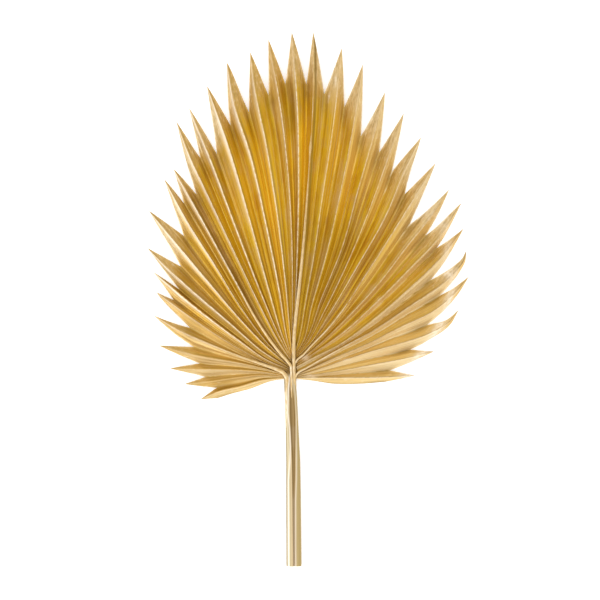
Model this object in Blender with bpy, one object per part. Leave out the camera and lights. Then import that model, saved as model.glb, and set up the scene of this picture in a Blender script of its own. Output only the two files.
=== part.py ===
"""Dried fan palm leaf, painted gold, lying with its ribs up.

Blade, hub and petiole are one closed solid. The petiole runs along -Y, the
middle leaflet along +Y, and the leaf rests on Z = 0.
"""
import math

import bmesh
import bpy

MM = 0.001

# Plan positions are in mm as measured along the leaf: x to the right, y down from the tip side.
PLAN_CENTRE = (308.2, 299.2)
HUB = (293.5, 362)

# Midrib of each leaflet from the hub to its tip, clockwise from the lower left lobe.
MIDRIBS = (
    ((284.9, 378), (262, 380.4), (240, 386.7), (220, 391.2), (200.3, 399.3)),
    ((284.8, 377), (262, 375.2), (240, 377.2), (215, 380.8), (184.3, 384)),
    ((284.9, 376), (265, 372.3), (240, 370.2), (205, 369.4), (169.6, 368.5)),
    ((285.3, 375), (268, 369.6), (240, 363.2), (200, 356.2), (158.6, 345.4)),
    ((286.6, 374.4), (281.7, 371.8), (250, 360.2), (200, 340), (180, 330.7), (153.7, 315.3)),
    ((288.4, 371.6), (270, 364.6), (240, 349.4), (200, 323.5), (170, 302), (156.3, 292)),
    ((289, 369.4), (268, 360.8), (240, 341.5), (200, 311.3), (153, 271.7)),
    ((289.4, 367.9), (265, 353.3), (230, 323.5), (190, 289), (170, 270.7), (147.4, 247.9)),
    ((289.8, 366.4), (268, 348), (240, 319.3), (210, 284), (180, 248), (149, 210.7)),
    ((290.2, 365), (270, 346), (243, 311), (213.3, 262.7), (190, 226), (164.2, 179.3)),
    ((291.4, 365.6), (284.9, 358.8), (263, 330), (232, 275.3), (200.3, 217.3), (173.3, 168.5)),
    ((291.2, 361), (280, 344), (258, 302), (230, 243), (204, 187.3), (190.3, 158), (176.2, 121.2)),
    ((291.4, 359.4), (280, 337.5), (260, 291), (236, 228.7), (209.3, 157.3), (189, 107.7)),
    ((291.6, 357.9), (283, 338), (270, 295), (250, 221), (226, 139.3), (207, 86.5)),
    ((291.8, 356.5), (288, 343), (279, 290), (265, 220), (249.3, 152), (236, 112), (226.8, 63)),
    ((292.1, 355.2), (290.2, 335), (285, 280), (275, 200), (265.3, 141.3), (255.7, 95), (250, 52.6)),
    ((292.4, 354.1), (292.4, 325), (292.4, 262), (289.3, 190), (282, 118.7), (268.3, 40)),
    ((292.9, 353.2), (294.6, 322), (297.2, 255), (298.6, 185), (297.6, 115), (291.7, 33)),
    ((293.7, 352.4), (293.8, 345), (299, 289), (304, 239), (309, 169), (313, 100), (313.1, 32.4)),
    ((294.6, 353.2), (298.3, 342), (305.5, 303), (314, 255), (322, 200), (334, 120), (341.6, 48.6)),
    ((294.9, 354.4), (301.5, 345), (312, 305), (325, 260), (339, 200), (354.5, 118), (362.6, 64.6)),
    ((295.1, 355.8), (304.5, 343), (321, 300), (343, 245), (358, 190), (373, 138), (384.7, 92.4)),
    ((295.3, 357.2), (308, 342), (324, 312), (352, 253), (376, 192), (391, 149.3), (403.7, 113)),
    ((295.5, 358.6), (311, 343), (327, 318), (357, 267), (388, 211), (403.3, 173), (421, 137)),
    ((295.2, 361.3), (301.9, 356.1), (313, 344), (335, 321), (363, 279), (400, 220.7), (435.5, 163)),
    ((296, 363), (316, 347.5), (345, 320), (380, 282), (406.7, 246.7), (429.3, 218.7), (449, 189.4)),
    ((296.3, 364.8), (312, 354.5), (345, 331), (380, 299), (410, 268.7), (436.7, 240.7), (461.6, 202.6)),
    ((296.5, 366.7), (312, 358.4), (340, 344.5), (370, 322.5), (405, 292.5), (440.7, 258), (463.6, 228.2)),
    ((295.4, 374), (305.7, 368.4), (330, 354.5), (370, 333), (413.3, 304), (443, 283.5), (457.5, 269.5), (464, 260), (466, 251)),
    ((296.6, 374.8), (310, 369), (335, 358), (370, 343), (400, 327.3), (434, 310.5), (455, 293), (469, 276.2)),
    ((296.5, 376), (315, 370.4), (345, 360), (370, 351.8), (400, 343.5), (430, 333), (449, 322), (458.8, 309.2)),
    ((296.2, 377), (320, 374), (345, 370), (370, 365), (403.3, 358.7), (434, 351.3)),
    ((295.9, 377.9), (315, 377.8), (350, 377.7), (385, 377.2), (415.8, 375.3)),
)

# Bottom of the slit between each leaflet and the next.
SLITS = (
    (216.7, 388), (205.4, 377), (199.8, 363.6), (193.6, 347), (189.9, 327.9), (173.4, 300),
    (179, 289.4), (181, 266.7), (183.8, 235.9), (183.8, 203.4), (196.3, 194.4), (200, 157.5),
    (216.8, 153.9), (230.5, 125.3), (249, 112), (268.5, 95), (285.4, 84), (306.3, 84.3),
    (324.2, 94), (344.5, 106.8), (361, 136), (379.3, 152.2), (392.3, 171.3), (405, 194),
    (410.2, 224.2), (426, 235.4), (437, 247.9), (431, 280), (439.7, 295.8), (427.3, 325),
    (410.3, 349.7), (390, 370.5),
)

# Outer margins of the two lowest lobes, from the hub out to where the free point starts.
LEFT_MARGIN = ((284.9, 378.9), (271, 381.3), (250, 389), (230, 394.3), (218, 398.2))
RIGHT_MARGIN = ((295.6, 378.8), (313.7, 380.9), (331, 383.6), (360, 383.9), (385, 382))

# Leaflets whose midribs are the thick branches of the petiole.
THICK_RIBS = (4, 10, 18, 24, 28)

INNER_ROWS = (0, 0.035, 0.09, 0.17, 0.29, 0.45, 0.63, 0.82, 1)
POINT_ROWS = (0.2, 0.42, 0.64, 0.84)

# How full the two cut edges of a point are: 1 is straight, less is fuller. The second row is by leaflet.
EDGE_FULLNESS = (1.03, 0.86)
OWN_FULLNESS = {0: (0.9, 1), 1: (0.92, 0.95), 3: (0.9, 1), 4: (0.88, 1.1), 5: (0.6, 1), 7: (1.05, 0.95),
                8: (1, 0.95), 11: (1.15, 0.95), 14: (1.1, 0.78), 15: (1.2, 0.9), 26: (0.95, 0.9),
                27: (1.15, 0.85), 28: (0.8, 1), 29: (1.05, 0.95), 30: (1.1, 0.95)}

SKIN = 1.05
PLEAT_SLOPE = 0.8
POINT_SLOPE = 0.55
HUB_LIFT = 1.2
HUB_REACH = 60

# The blade dips to the table on both sides of its middle leaflet and rises at the middle and the
# lowest lobes. Angles are in degrees from the middle leaflet.
DIP_ANGLE = 45
RISE_ANGLE = 112.5
WARP = 1.7
WARP_RADIUS = 240

POINT_DROOP = 0.15

RIB_HALF_WIDTH = 1.1
RIB_HEIGHT = 0.45
THICK_HALF_WIDTH = 1.9
THICK_HEIGHT = 1.9
# Share of its full size that a midrib has at the hub, and how fast it gets there.
RIB_START = 0.35
RIB_GROWTH = 2

# Petiole from the cut end to the hub: y, left edge, right edge, underside, top,
# then the groove: middle and half width as shares of the half width, and depth.
PETIOLE = (
    (566, 286.4, 301.6, 0, 8, 0.02, 0.12, 1),
    (530, 286.3, 301.2, 0, 7.9, 0.04, 0.12, 1),
    (490, 286.2, 300.8, 0.2, 7.7, 0.08, 0.14, 1),
    (460, 286.2, 300.2, 0.4, 7.5, 0.1, 0.22, 1.1),
    (440, 285.9, 299.1, 0.6, 7.3, 0.08, 0.36, 1.2),
    (415, 285.4, 297.9, 0.8, 7, 0.08, 0.44, 1.3),
    (398, 284.8, 297.1, 0.95, 6.7, 0.1, 0.36, 1.1),
    (386, 284.2, 296.1, 1.1, 6.4, 0.12, 0.26, 0.9),
    (379.5, 284, 296.2, 1.15, 6.2, 0.14, 0.22, 0.8),
    (376.4, 283.9, 297.2, 1.2, 6.1, 0.12, 0.2, 0.7),
    (374, 284.4, 297.4, 1.3, 6, 0.1, 0.2, 0.6),
    (371.6, 286.8, 297.4, 1.3, 5.9, 0, 0.2, 0.6),
    (368, 288.2, 297.4, 1.4, 5.8, -0.02, 0.2, 0.5),
    (362, 289.6, 297, 1.5, 5.5, -0.04, 0.2, 0.4),
    (356, 290.9, 296.2, 1.6, 5.2, -0.04, 0.2, 0.3),
    (350.8, 292.1, 295.4, 1.7, 4.9, 0, 0.2, 0.2),
)

# Petiole section round from the underside: share across, share up.
SECTION_RIGHT = ((0.32, 0), (0.7, 0.07), (0.93, 0.28), (1, 0.52), (0.93, 0.76), (0.74, 0.9))
SECTION_LEFT = ((-0.74, 0.92), (-0.94, 0.74), (-1, 0.48), (-0.92, 0.25), (-0.68, 0.06), (-0.32, 0))
GROOVE_SIDE_RISE = 0.95
GROOVE_SHOULDER = (0.16, 0.97)

CURVE_STEPS = 24
PAINT = (0.55, 0.32, 0.06, 1)


class Path:
    """Smooth line through measured plan points, found by its length."""

    def __init__(self, points):
        self.points = []
        for i in range(len(points) - 1):
            before = points[i - 1] if i else points[i]
            after = points[i + 2] if i + 2 < len(points) else points[i + 1]
            self.points += self.span(before, points[i], points[i + 1], after)
        self.points.append(points[-1])
        self.lengths = [0]
        for a, b in zip(self.points, self.points[1:]):
            self.lengths.append(self.lengths[-1] + math.dist(a, b))

    def span(self, before, start, end, after):
        """Points from start up to, and without, end."""
        chord = math.dist(start, end)
        lead_in = self.slope(before, start, end, chord)
        lead_out = self.slope(start, end, after, chord)
        result = []
        for step in range(CURVE_STEPS):
            t = step / CURVE_STEPS
            weights = (2 * t**3 - 3 * t**2 + 1, t**3 - 2 * t**2 + t, 3 * t**2 - 2 * t**3, t**3 - t**2)
            parts = (start, lead_in, end, lead_out)
            result.append(tuple(sum(w * p[axis] for w, p in zip(weights, parts)) for axis in (0, 1)))
        return result

    def slope(self, before, middle, after, chord):
        """Direction at a middle point, scaled to the chord of the span that uses it."""
        back, ahead = math.dist(before, middle), math.dist(middle, after)
        if back == 0 or ahead == 0:
            return tuple(a - b for a, b in zip(after, before))
        return tuple(
            chord * ((m - b) / back * ahead + (a - m) / ahead * back) / (back + ahead)
            for b, m, a in zip(before, middle, after)
        )

    def at(self, length):
        """Plan point at a length from the start."""
        index = 1
        while index < len(self.lengths) - 1 and self.lengths[index] < length:
            index += 1
        low, high = self.lengths[index - 1], self.lengths[index]
        share = (length - low) / (high - low)
        return mix(self.points[index - 1], self.points[index], share)

    def frame(self, length):
        """Unit directions along the line and to its right on the plan, at a length."""
        a, b = self.at(max(0, length - 1)), self.at(min(self.lengths[-1], length + 1))
        gap = math.dist(a, b)
        along = ((b[0] - a[0]) / gap, (b[1] - a[1]) / gap)
        return along, (-along[1], along[0])

    def reach(self, radius):
        """Length at which the line is a radius away from its start."""
        for point, length in zip(self.points, self.lengths):
            if math.dist(point, self.points[0]) >= radius:
                return length
        return self.lengths[-1]


def mix(a, b, share):
    """Point between a and b."""
    return tuple(p + (q - p) * share for p, q in zip(a, b))


def split(origin, point, frame):
    """How far a point is from an origin along and across a direction."""
    gap = (point[0] - origin[0], point[1] - origin[1])
    return tuple(gap[0] * unit[0] + gap[1] * unit[1] for unit in frame)


def offset(origin, amounts, share, frame):
    """Point at a share of the given amounts along and across a direction."""
    return tuple(
        o + share * (amounts[0] * along + amounts[1] * across)
        for o, along, across in zip(origin, *frame)
    )


def half_width(left, right, frame):
    """Half of the gap between two edge points, measured across the leaflet."""
    return abs(split(left, right, frame)[1]) / 2


def lift(point):
    """Height of the blade's underside in its valleys, before its lowest spots are set to 0."""
    radius = math.dist(point, HUB)
    turn = math.degrees(abs(math.atan2(point[0] - HUB[0], HUB[1] - point[1])))
    if turn < DIP_ANGLE:
        wave = math.cos(math.pi * turn / DIP_ANGLE)
    else:
        wave = -math.cos(math.pi * (turn - DIP_ANGLE) / (RISE_ANGLE - DIP_ANGLE))
    near = HUB_LIFT * math.exp(-((radius / HUB_REACH) ** 2))
    return near + WARP * wave * (radius / WARP_RADIUS) ** 2


def table_level(leaflets):
    """Plane through the lowest spot on either side of the hub: its height at x = 0, and its slope."""
    points = [p for rows in leaflets for row in rows for p in row]
    left = min((p for p in points if p[0] < HUB[0]), key=lambda p: p[2])
    right = min((p for p in points if p[0] > HUB[0]), key=lambda p: p[2])
    slope = (right[2] - left[2]) / (right[0] - left[0])
    return left[2] - slope * left[0], slope


def valley_lines(midribs):
    """Valley points of every inner row, one list for each valley, with the margins at both ends."""
    valleys = [[Path(LEFT_MARGIN).at(Path(LEFT_MARGIN).lengths[-1] * f) for f in INNER_ROWS]]
    for i, slit in enumerate(SLITS):
        crest_ends = [midribs[j].at(reaches(midribs)[j]) for j in (i, i + 1)]
        shift = [s - (a + b) / 2 for s, a, b in zip(slit, *crest_ends)]
        line = []
        for f in INNER_ROWS:
            a, b = (midribs[j].at(reaches(midribs)[j] * f) for j in (i, i + 1))
            line.append(tuple((p + q) / 2 + s * f for p, q, s in zip(a, b, shift)))
        valleys.append(line)
    valleys.append([Path(RIGHT_MARGIN).at(Path(RIGHT_MARGIN).lengths[-1] * f) for f in INNER_ROWS])
    return valleys


def reaches(midribs):
    """Length of each midrib inside the joined blade."""
    ends = (LEFT_MARGIN[-1],) + SLITS + (RIGHT_MARGIN[-1],)
    result = []
    for i, rib in enumerate(midribs):
        start = rib.points[0]
        radius = (math.dist(start, ends[i]) + math.dist(start, ends[i + 1])) / 2
        result.append(rib.reach(radius))
    return result


def rib_size(index, share):
    """Half width and height of a midrib at a share of the joined blade's depth."""
    grow = min(1, RIB_START + share * RIB_GROWTH)
    width, height = RIB_HALF_WIDTH * grow, RIB_HEIGHT * grow
    if index in THICK_RIBS:
        fade = (1 - min(share, 1)) ** 2
        width += (THICK_HALF_WIDTH - RIB_HALF_WIDTH) * fade
        height += (THICK_HEIGHT - RIB_HEIGHT) * fade
    return width, height


def leaflet_row(left, crest, right, edges, top, rib):
    """Five points across a leaflet: valley, rib foot, crest, rib foot, valley."""
    width, height = rib
    row = [(*left, edges[0])]
    for side, edge in ((left, edges[0]), (right, edges[1])):
        span = math.dist(crest, side)
        share = min(0.5, width / span)
        row.append((*mix(crest, side, share), top + (edge - top) * share))
    row.insert(2, (*crest, top + height))
    row.append((*right, edges[1]))
    return row


def blade_rows():
    """Rows of five points for each leaflet, from the hub to the last row before its tip, and tips."""
    midribs = [Path(points) for points in MIDRIBS]
    valleys = valley_lines(midribs)
    depths = reaches(midribs)
    leaflets, tips = [], []
    for i, rib in enumerate(midribs):
        rows = []
        for k, f in enumerate(INNER_ROWS):
            left, right = valleys[i][k], valleys[i + 1][k]
            crest = rib.at(depths[i] * f)
            half = half_width(left, right, rib.frame(depths[i] * f))
            edges = (lift(left), lift(right))
            top = sum(edges) / 2 + PLEAT_SLOPE * half
            rows.append(leaflet_row(left, crest, right, edges, top, rib_size(i, f)))
        ring_top = top
        ring_frame = rib.frame(depths[i])
        sides = [split(crest, end, ring_frame) for end in (left, right)]
        for g in POINT_ROWS:
            length = depths[i] + (rib.lengths[-1] - depths[i]) * g
            crest = rib.at(length)
            tapers = [(1 - g) ** fullness for fullness in OWN_FULLNESS.get(i, EDGE_FULLNESS)]
            frame = rib.frame(length)
            left, right = (offset(crest, side, taper, frame) for side, taper in zip(sides, tapers))
            slope = PLEAT_SLOPE + (POINT_SLOPE - PLEAT_SLOPE) * g
            drop = slope * half_width(left, right, frame)
            top = ring_top * (1 - POINT_DROOP * g)
            width, height = rib_size(i, 1)
            fade = (1 - g) ** 0.5
            rows.append(leaflet_row(left, crest, right, (top - drop, top - drop), top,
                                    (width * fade, height * fade)))
        leaflets.append(rows)
        tips.append((*rib.points[-1], ring_top * (1 - POINT_DROOP)))
    return leaflets, tips


def to_frame(point):
    """Plan point in mm to the frame in metres."""
    x, y, z = point
    return ((x - PLAN_CENTRE[0]) * MM, (PLAN_CENTRE[1] - y) * MM, z * MM)


def build_blade():
    """Closed pleated sheet of all leaflets."""
    leaflets, tips = blade_rows()
    level, tilt = table_level(leaflets)
    mesh = bmesh.new()
    made = {}

    def pair(point):
        """Upper and lower vertex at a plan point, shared by neighbours."""
        key = (round(point[0], 4), round(point[1], 4))
        if key not in made:
            x, y, z = point
            z -= level + tilt * x
            made[key] = (mesh.verts.new(to_frame((x, y, z + SKIN))), mesh.verts.new(to_frame((x, y, z))))
        return made[key]

    def skin(a, b, c):
        """One triangle on both faces of the sheet."""
        mesh.faces.new((a[0], b[0], c[0]))
        mesh.faces.new((c[1], b[1], a[1]))

    for rows, tip in zip(leaflets, tips):
        grid = [[pair(p) for p in row] for row in rows]
        for low, high in zip(grid, grid[1:]):
            for j in range(4):
                if j < 2:
                    skin(low[j], low[j + 1], high[j + 1])
                    skin(low[j], high[j + 1], high[j])
                else:
                    skin(low[j], low[j + 1], high[j])
                    skin(low[j + 1], high[j + 1], high[j])
        end = pair(tip)
        for j in range(4):
            skin(grid[-1][j], grid[-1][j + 1], end)
    uppers = {verts[0] for verts in made.values()}
    partner = {verts[0]: verts[1] for verts in made.values()}
    for edge in [e for e in mesh.edges if e.is_boundary and e.verts[0] in uppers]:
        a, b = edge.verts
        mesh.faces.new((a, b, partner[b], partner[a]))
    return finish_solid(mesh, "blade")


def petiole_ring(station):
    """Section of the petiole at one station, with its groove."""
    y, left, right, low, high, middle, groove, depth = station
    centre, half, rise = (left + right) / 2, (right - left) / 2, high - low
    shares = list(SECTION_RIGHT)
    shares += [(middle + groove + GROOVE_SHOULDER[0], GROOVE_SHOULDER[1]), (middle + groove, GROOVE_SIDE_RISE)]
    shares += [(middle + groove / 2, GROOVE_SIDE_RISE - depth / rise)]
    shares += [(middle - groove / 2, GROOVE_SIDE_RISE - depth / rise)]
    shares += [(middle - groove, GROOVE_SIDE_RISE), ((middle - groove + SECTION_LEFT[0][0]) / 2, 1)]
    shares += list(SECTION_LEFT)
    return [(centre + half * u, y, low + rise * v) for u, v in shares]


def build_petiole():
    """Closed stalk that narrows into the hub."""
    mesh = bmesh.new()
    rings = [[mesh.verts.new(to_frame(p)) for p in petiole_ring(s)] for s in PETIOLE]
    count = len(rings[0])
    for low, high in zip(rings, rings[1:]):
        for j in range(count):
            mesh.faces.new((low[j], low[(j + 1) % count], high[(j + 1) % count], high[j]))
    mesh.faces.new(rings[0])
    mesh.faces.new(rings[-1])
    return finish_solid(mesh, "petiole")


def finish_solid(mesh, name):
    """Triangulated object with its faces turned outward."""
    bmesh.ops.recalc_face_normals(mesh, faces=mesh.faces)
    bmesh.ops.triangulate(mesh, faces=mesh.faces)
    data = bpy.data.meshes.new(name)
    mesh.to_mesh(data)
    mesh.free()
    solid = bpy.data.objects.new(name, data)
    bpy.context.collection.objects.link(solid)
    return solid


def painted_finish():
    """Satin gold paint."""
    material = bpy.data.materials.new("gold_paint")
    material.use_nodes = True
    shader = material.node_tree.nodes["Principled BSDF"]
    shader.inputs["Base Color"].default_value = PAINT
    shader.inputs["Metallic"].default_value = 0.7
    shader.inputs["Roughness"].default_value = 0.42
    return material


def main():
    """Joins blade and petiole into one leaf."""
    for item in list(bpy.data.objects):
        bpy.data.objects.remove(item, do_unlink=True)
    leaf = build_blade()
    petiole = build_petiole()
    union = leaf.modifiers.new("union", "BOOLEAN")
    union.operation = "UNION"
    union.solver = "EXACT"
    union.object = petiole
    bpy.context.view_layer.objects.active = leaf
    bpy.ops.object.modifier_apply(modifier=union.name)
    bpy.data.objects.remove(petiole, do_unlink=True)
    leaf.name = leaf.data.name = "palm_leaf"
    leaf.data.materials.clear()
    leaf.data.materials.append(painted_finish())


main()
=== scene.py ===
"""Dried fan palm leaf, sprayed gold, lying with its ribs up.

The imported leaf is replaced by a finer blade, the branches of its hub and a
grooved petiole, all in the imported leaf's place and size.
"""

import logging
import math
from dataclasses import dataclass, field
from enum import Enum

import bpy
import numpy as np
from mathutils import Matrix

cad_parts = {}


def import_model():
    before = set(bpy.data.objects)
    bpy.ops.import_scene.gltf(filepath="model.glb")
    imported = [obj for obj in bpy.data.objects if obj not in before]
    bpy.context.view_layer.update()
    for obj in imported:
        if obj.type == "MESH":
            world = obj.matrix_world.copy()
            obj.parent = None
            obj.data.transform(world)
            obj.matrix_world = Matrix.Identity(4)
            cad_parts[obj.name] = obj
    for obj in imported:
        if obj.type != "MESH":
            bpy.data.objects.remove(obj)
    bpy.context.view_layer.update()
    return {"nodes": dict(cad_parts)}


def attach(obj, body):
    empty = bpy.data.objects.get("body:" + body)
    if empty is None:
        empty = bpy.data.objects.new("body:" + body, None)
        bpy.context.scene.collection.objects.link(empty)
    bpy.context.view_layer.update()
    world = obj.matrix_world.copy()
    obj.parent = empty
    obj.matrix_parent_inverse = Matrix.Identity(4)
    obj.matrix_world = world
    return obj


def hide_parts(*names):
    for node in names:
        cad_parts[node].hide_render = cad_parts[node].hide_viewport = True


# One millimetre in metres.
MM = 0.001
LOG = logging.getLogger("palm_leaf")

# Plan points are in mm as measured along the leaf: x to the right, y down from the tip side.
PLAN_CENTRE = (308.2, 299.2)
HUB = (293.5, 362.0)

# Midrib of each leaflet from the hub to its tip, clockwise from the lower left lobe.
MIDRIBS = (
    ((284.9, 378), (262, 380.4), (240, 386.7), (220, 391.2), (200.3, 399.3)),
    ((284.8, 377), (262, 375.2), (240, 377.2), (215, 380.8), (184.3, 384)),
    ((284.9, 376), (265, 372.3), (240, 370.2), (205, 369.4), (169.6, 368.5)),
    ((285.3, 375), (268, 369.6), (240, 363.2), (200, 356.2), (158.6, 345.4)),
    ((286.6, 374.4), (281.7, 371.8), (250, 360.2), (200, 340), (180, 330.7), (153.7, 315.3)),
    ((288.4, 371.6), (270, 364.6), (240, 349.4), (200, 323.5), (170, 302), (156.3, 292)),
    ((289, 369.4), (268, 360.8), (240, 341.5), (200, 311.3), (153, 271.7)),
    ((289.4, 367.9), (265, 353.3), (230, 323.5), (190, 289), (170, 270.7), (147.4, 247.9)),
    ((289.8, 366.4), (268, 348), (240, 319.3), (210, 284), (180, 248), (149, 210.7)),
    ((290.2, 365), (270, 346), (243, 311), (213.3, 262.7), (190, 226), (164.2, 179.3)),
    ((291.4, 365.6), (284.9, 358.8), (263, 330), (232, 275.3), (200.3, 217.3), (173.3, 168.5)),
    ((291.2, 361), (280, 344), (258, 302), (230, 243), (204, 187.3), (190.3, 158), (176.2, 121.2)),
    ((291.4, 359.4), (280, 337.5), (260, 291), (236, 228.7), (209.3, 157.3), (189, 107.7)),
    ((291.6, 357.9), (283, 338), (270, 295), (250, 221), (226, 139.3), (207, 86.5)),
    ((291.8, 356.5), (288, 343), (279, 290), (265, 220), (249.3, 152), (236, 112), (226.8, 63)),
    ((292.1, 355.2), (290.2, 335), (285, 280), (275, 200), (265.3, 141.3), (255.7, 95), (250, 52.6)),
    ((292.4, 354.1), (292.4, 325), (292.4, 262), (289.3, 190), (282, 118.7), (268.3, 40)),
    ((292.9, 353.2), (294.6, 322), (297.2, 255), (298.6, 185), (297.6, 115), (291.7, 33)),
    ((293.7, 352.4), (293.8, 345), (299, 289), (304, 239), (309, 169), (313, 100), (313.1, 32.4)),
    ((294.6, 353.2), (298.3, 342), (305.5, 303), (314, 255), (322, 200), (334, 120), (341.6, 48.6)),
    ((294.9, 354.4), (301.5, 345), (312, 305), (325, 260), (339, 200), (354.5, 118), (362.6, 64.6)),
    ((295.1, 355.8), (304.5, 343), (321, 300), (343, 245), (358, 190), (373, 138), (384.7, 92.4)),
    ((295.3, 357.2), (308, 342), (324, 312), (352, 253), (376, 192), (391, 149.3), (403.7, 113)),
    ((295.5, 358.6), (311, 343), (327, 318), (357, 267), (388, 211), (403.3, 173), (421, 137)),
    ((295.2, 361.3), (301.9, 356.1), (313, 344), (335, 321), (363, 279), (400, 220.7), (435.5, 163)),
    ((296, 363), (316, 347.5), (345, 320), (380, 282), (406.7, 246.7), (429.3, 218.7), (449, 189.4)),
    ((296.3, 364.8), (312, 354.5), (345, 331), (380, 299), (410, 268.7), (436.7, 240.7), (461.6, 202.6)),
    ((296.5, 366.7), (312, 358.4), (340, 344.5), (370, 322.5), (405, 292.5), (440.7, 258), (463.6, 228.2)),
    ((295.4, 374), (305.7, 368.4), (330, 354.5), (370, 333), (413.3, 304), (443, 283.5), (457.5, 269.5),
     (464, 260), (466, 251)),
    ((296.6, 374.8), (310, 369), (335, 358), (370, 343), (400, 327.3), (434, 310.5), (455, 293),
     (469, 276.2)),
    ((296.5, 376), (315, 370.4), (345, 360), (370, 351.8), (400, 343.5), (430, 333), (449, 322),
     (458.8, 309.2)),
    ((296.2, 377), (320, 374), (345, 370), (370, 365), (403.3, 358.7), (434, 351.3)),
    ((295.9, 377.9), (315, 377.8), (350, 377.7), (385, 377.2), (415.8, 375.3)),
)

# Bottom of the slit between each leaflet and the next.
SLITS = (
    (216.7, 388), (205.4, 377), (199.8, 363.6), (193.6, 347), (189.9, 327.9), (173.4, 300),
    (179, 289.4), (181, 266.7), (183.8, 235.9), (183.8, 203.4), (196.3, 194.4), (200, 157.5),
    (216.8, 153.9), (230.5, 125.3), (249, 112), (268.5, 95), (285.4, 84), (306.3, 84.3),
    (324.2, 94), (344.5, 106.8), (361, 136), (379.3, 152.2), (392.3, 171.3), (405, 194),
    (410.2, 224.2), (426, 235.4), (437, 247.9), (431, 280), (439.7, 295.8), (427.3, 325),
    (410.3, 349.7), (390, 370.5),
)

LEFT_MARGIN = ((284.9, 378.9), (271, 381.3), (250, 389), (230, 394.3), (218, 398.2))
RIGHT_MARGIN = ((295.6, 378.8), (313.7, 380.9), (331, 383.6), (360, 383.9), (385, 382))

# How full the two cut edges of a point are: 1 is straight, less is fuller.
EDGE_FULLNESS = (1.03, 0.86)
OWN_FULLNESS = {
    0: (0.9, 1), 1: (0.92, 0.95), 3: (0.9, 1), 4: (0.88, 1.1), 5: (0.6, 1), 7: (1.05, 0.95),
    8: (1, 0.95), 11: (1.15, 0.95), 14: (1.1, 0.78), 15: (1.2, 0.9), 26: (0.95, 0.9),
    27: (1.15, 0.85), 28: (0.8, 1), 29: (1.05, 0.95), 30: (1.1, 0.95),
}

# How much yellower (above 0) or browner (below 0) the paint of a leaflet's left and right flank is.
OWN_TONE = {
    7: (0, -0.3), 8: (0.1, -0.5), 9: (0, -0.4), 10: (-0.2, -0.7), 12: (0.2, 0.1), 13: (0.3, 0.4),
    14: (0.4, 0.8), 15: (0.7, 0.4), 16: (-0.2, 1.2), 17: (-0.4, 0.9), 18: (0.3, 0.2), 19: (0, 0.9),
    20: (0, 0.8), 21: (0.3, 0), 22: (0.3, -0.2), 23: (0.2, -0.2), 24: (0.3, 0), 25: (0, 0.3),
    26: (0, 0.3), 27: (0, 0.2), 28: (-0.4, 0.2), 29: (-0.3, 0),
}

# Length of the painted highlight on the lip below a slit, by the leaflet on its left, in mm.
PAINTED_LIP_HIGHLIGHTS = {22: 38, 24: 24}

# Small spots on the blade: painted glints, where the paint is rich gold, and where it is painted
# darker brown: plan x and y, how far they reach in x and in y, and how strong they are.
PAINTED_GLINT_SPOTS = (
    (305.5, 358, 3.5, 3, 0.9), (311, 376.5, 5.5, 2, 0.9), (335.5, 82, 1.2, 4.5, 0.9),
    (329, 97, 1, 4, 0.8), (378, 303, 2, 4, 0.6), (346, 360, 5, 1.5, 0.6),
)
GOLD_SPOTS = (
    (186, 308.5, 4, 3, 0.7), (192, 312, 5, 3.5, 0.9), (198, 316, 5, 4, 0.9), (205, 322, 6, 4, 0.8),
    (214, 329, 7, 4, 0.6), (213, 376, 6, 1.2, 0.7),
)
BROWN_SPOTS = (
    (272, 100, 3.5, 5, 0.5), (292.5, 108, 4, 24, 0.5), (295, 86, 3, 5, 0.5), (190, 330, 14, 16, 0.36),
)

# Petiole from the cut end to the hub: y, left edge, right edge, underside, top,
# then the groove: middle and half width as shares of the half width, and depth.
PETIOLE_STATIONS = (
    (566, 286.4, 301.6, 0, 8, 0.04, 0.1, 1),
    (530, 286.3, 301.2, 0, 7.9, 0.03, 0.11, 1),
    (490, 286.2, 300.8, 0.2, 7.7, 0.02, 0.14, 1),
    (460, 286.2, 300.2, 0.4, 7.5, 0.06, 0.2, 1.1),
    (440, 285.9, 299.1, 0.6, 7.3, 0.12, 0.32, 1.3),
    (415, 285.4, 297.9, 0.8, 7, 0.16, 0.44, 1.5),
    (398, 284.8, 297.1, 0.95, 6.7, 0.16, 0.36, 1.1),
    (386, 284.2, 296.1, 1.1, 6.4, 0.12, 0.26, 0.9),
    (379.5, 284, 296.2, 1.15, 6.0, 0.14, 0.22, 0.8),
    (376.4, 284.3, 297, 1.2, 5.5, 0.12, 0.2, 0.7),
    (374, 285.2, 297.2, 1.3, 5.1, 0.1, 0.2, 0.6),
    (371.6, 287.2, 297.2, 1.3, 4.7, 0, 0.2, 0.6),
    (368, 288.6, 297, 1.4, 4.3, -0.02, 0.2, 0.5),
    (362, 290, 296.4, 1.5, 3.9, -0.04, 0.2, 0.4),
    (356, 291.2, 295.8, 1.6, 3.5, -0.04, 0.2, 0.3),
    (350.8, 292.4, 295, 1.7, 3.1, 0, 0.2, 0.2),
)

# Painted highlights along the petiole: y, then how far out the left and the right one run,
# from -1 at the left edge over 0 in the groove to 1 at the right edge.
STALK_HIGHLIGHTS = (
    (384, -0.1, 0.5), (396, -0.3, 0.5), (412, -0.49, 0.4), (428, -0.2, 0.3), (446, -0.21, 0.3),
    (462, -0.4, 0.3), (480, -0.66, 0.28), (500, -0.66, 0.14), (566, -0.68, 0.1),
)


class RibKind(Enum):
    """Fine midrib of most leaflets, or a thick branch of the petiole."""

    FINE = "fine"
    BRANCH = "branch"


def linear_colour(hex_code: str) -> tuple[float, float, float, float]:
    """Turns an sRGB hex colour into linear values.

    Args:
        hex_code: six hex digits.

    Returns:
        Linear red, green, blue and alpha 1.
    """
    shares = [int(hex_code[i:i + 2], 16) / 255 for i in (0, 2, 4)]
    linear = [s / 12.92 if s <= 0.04045 else ((s + 0.055) / 1.055) ** 2.4 for s in shares]
    return (*linear, 1.0)


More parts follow.
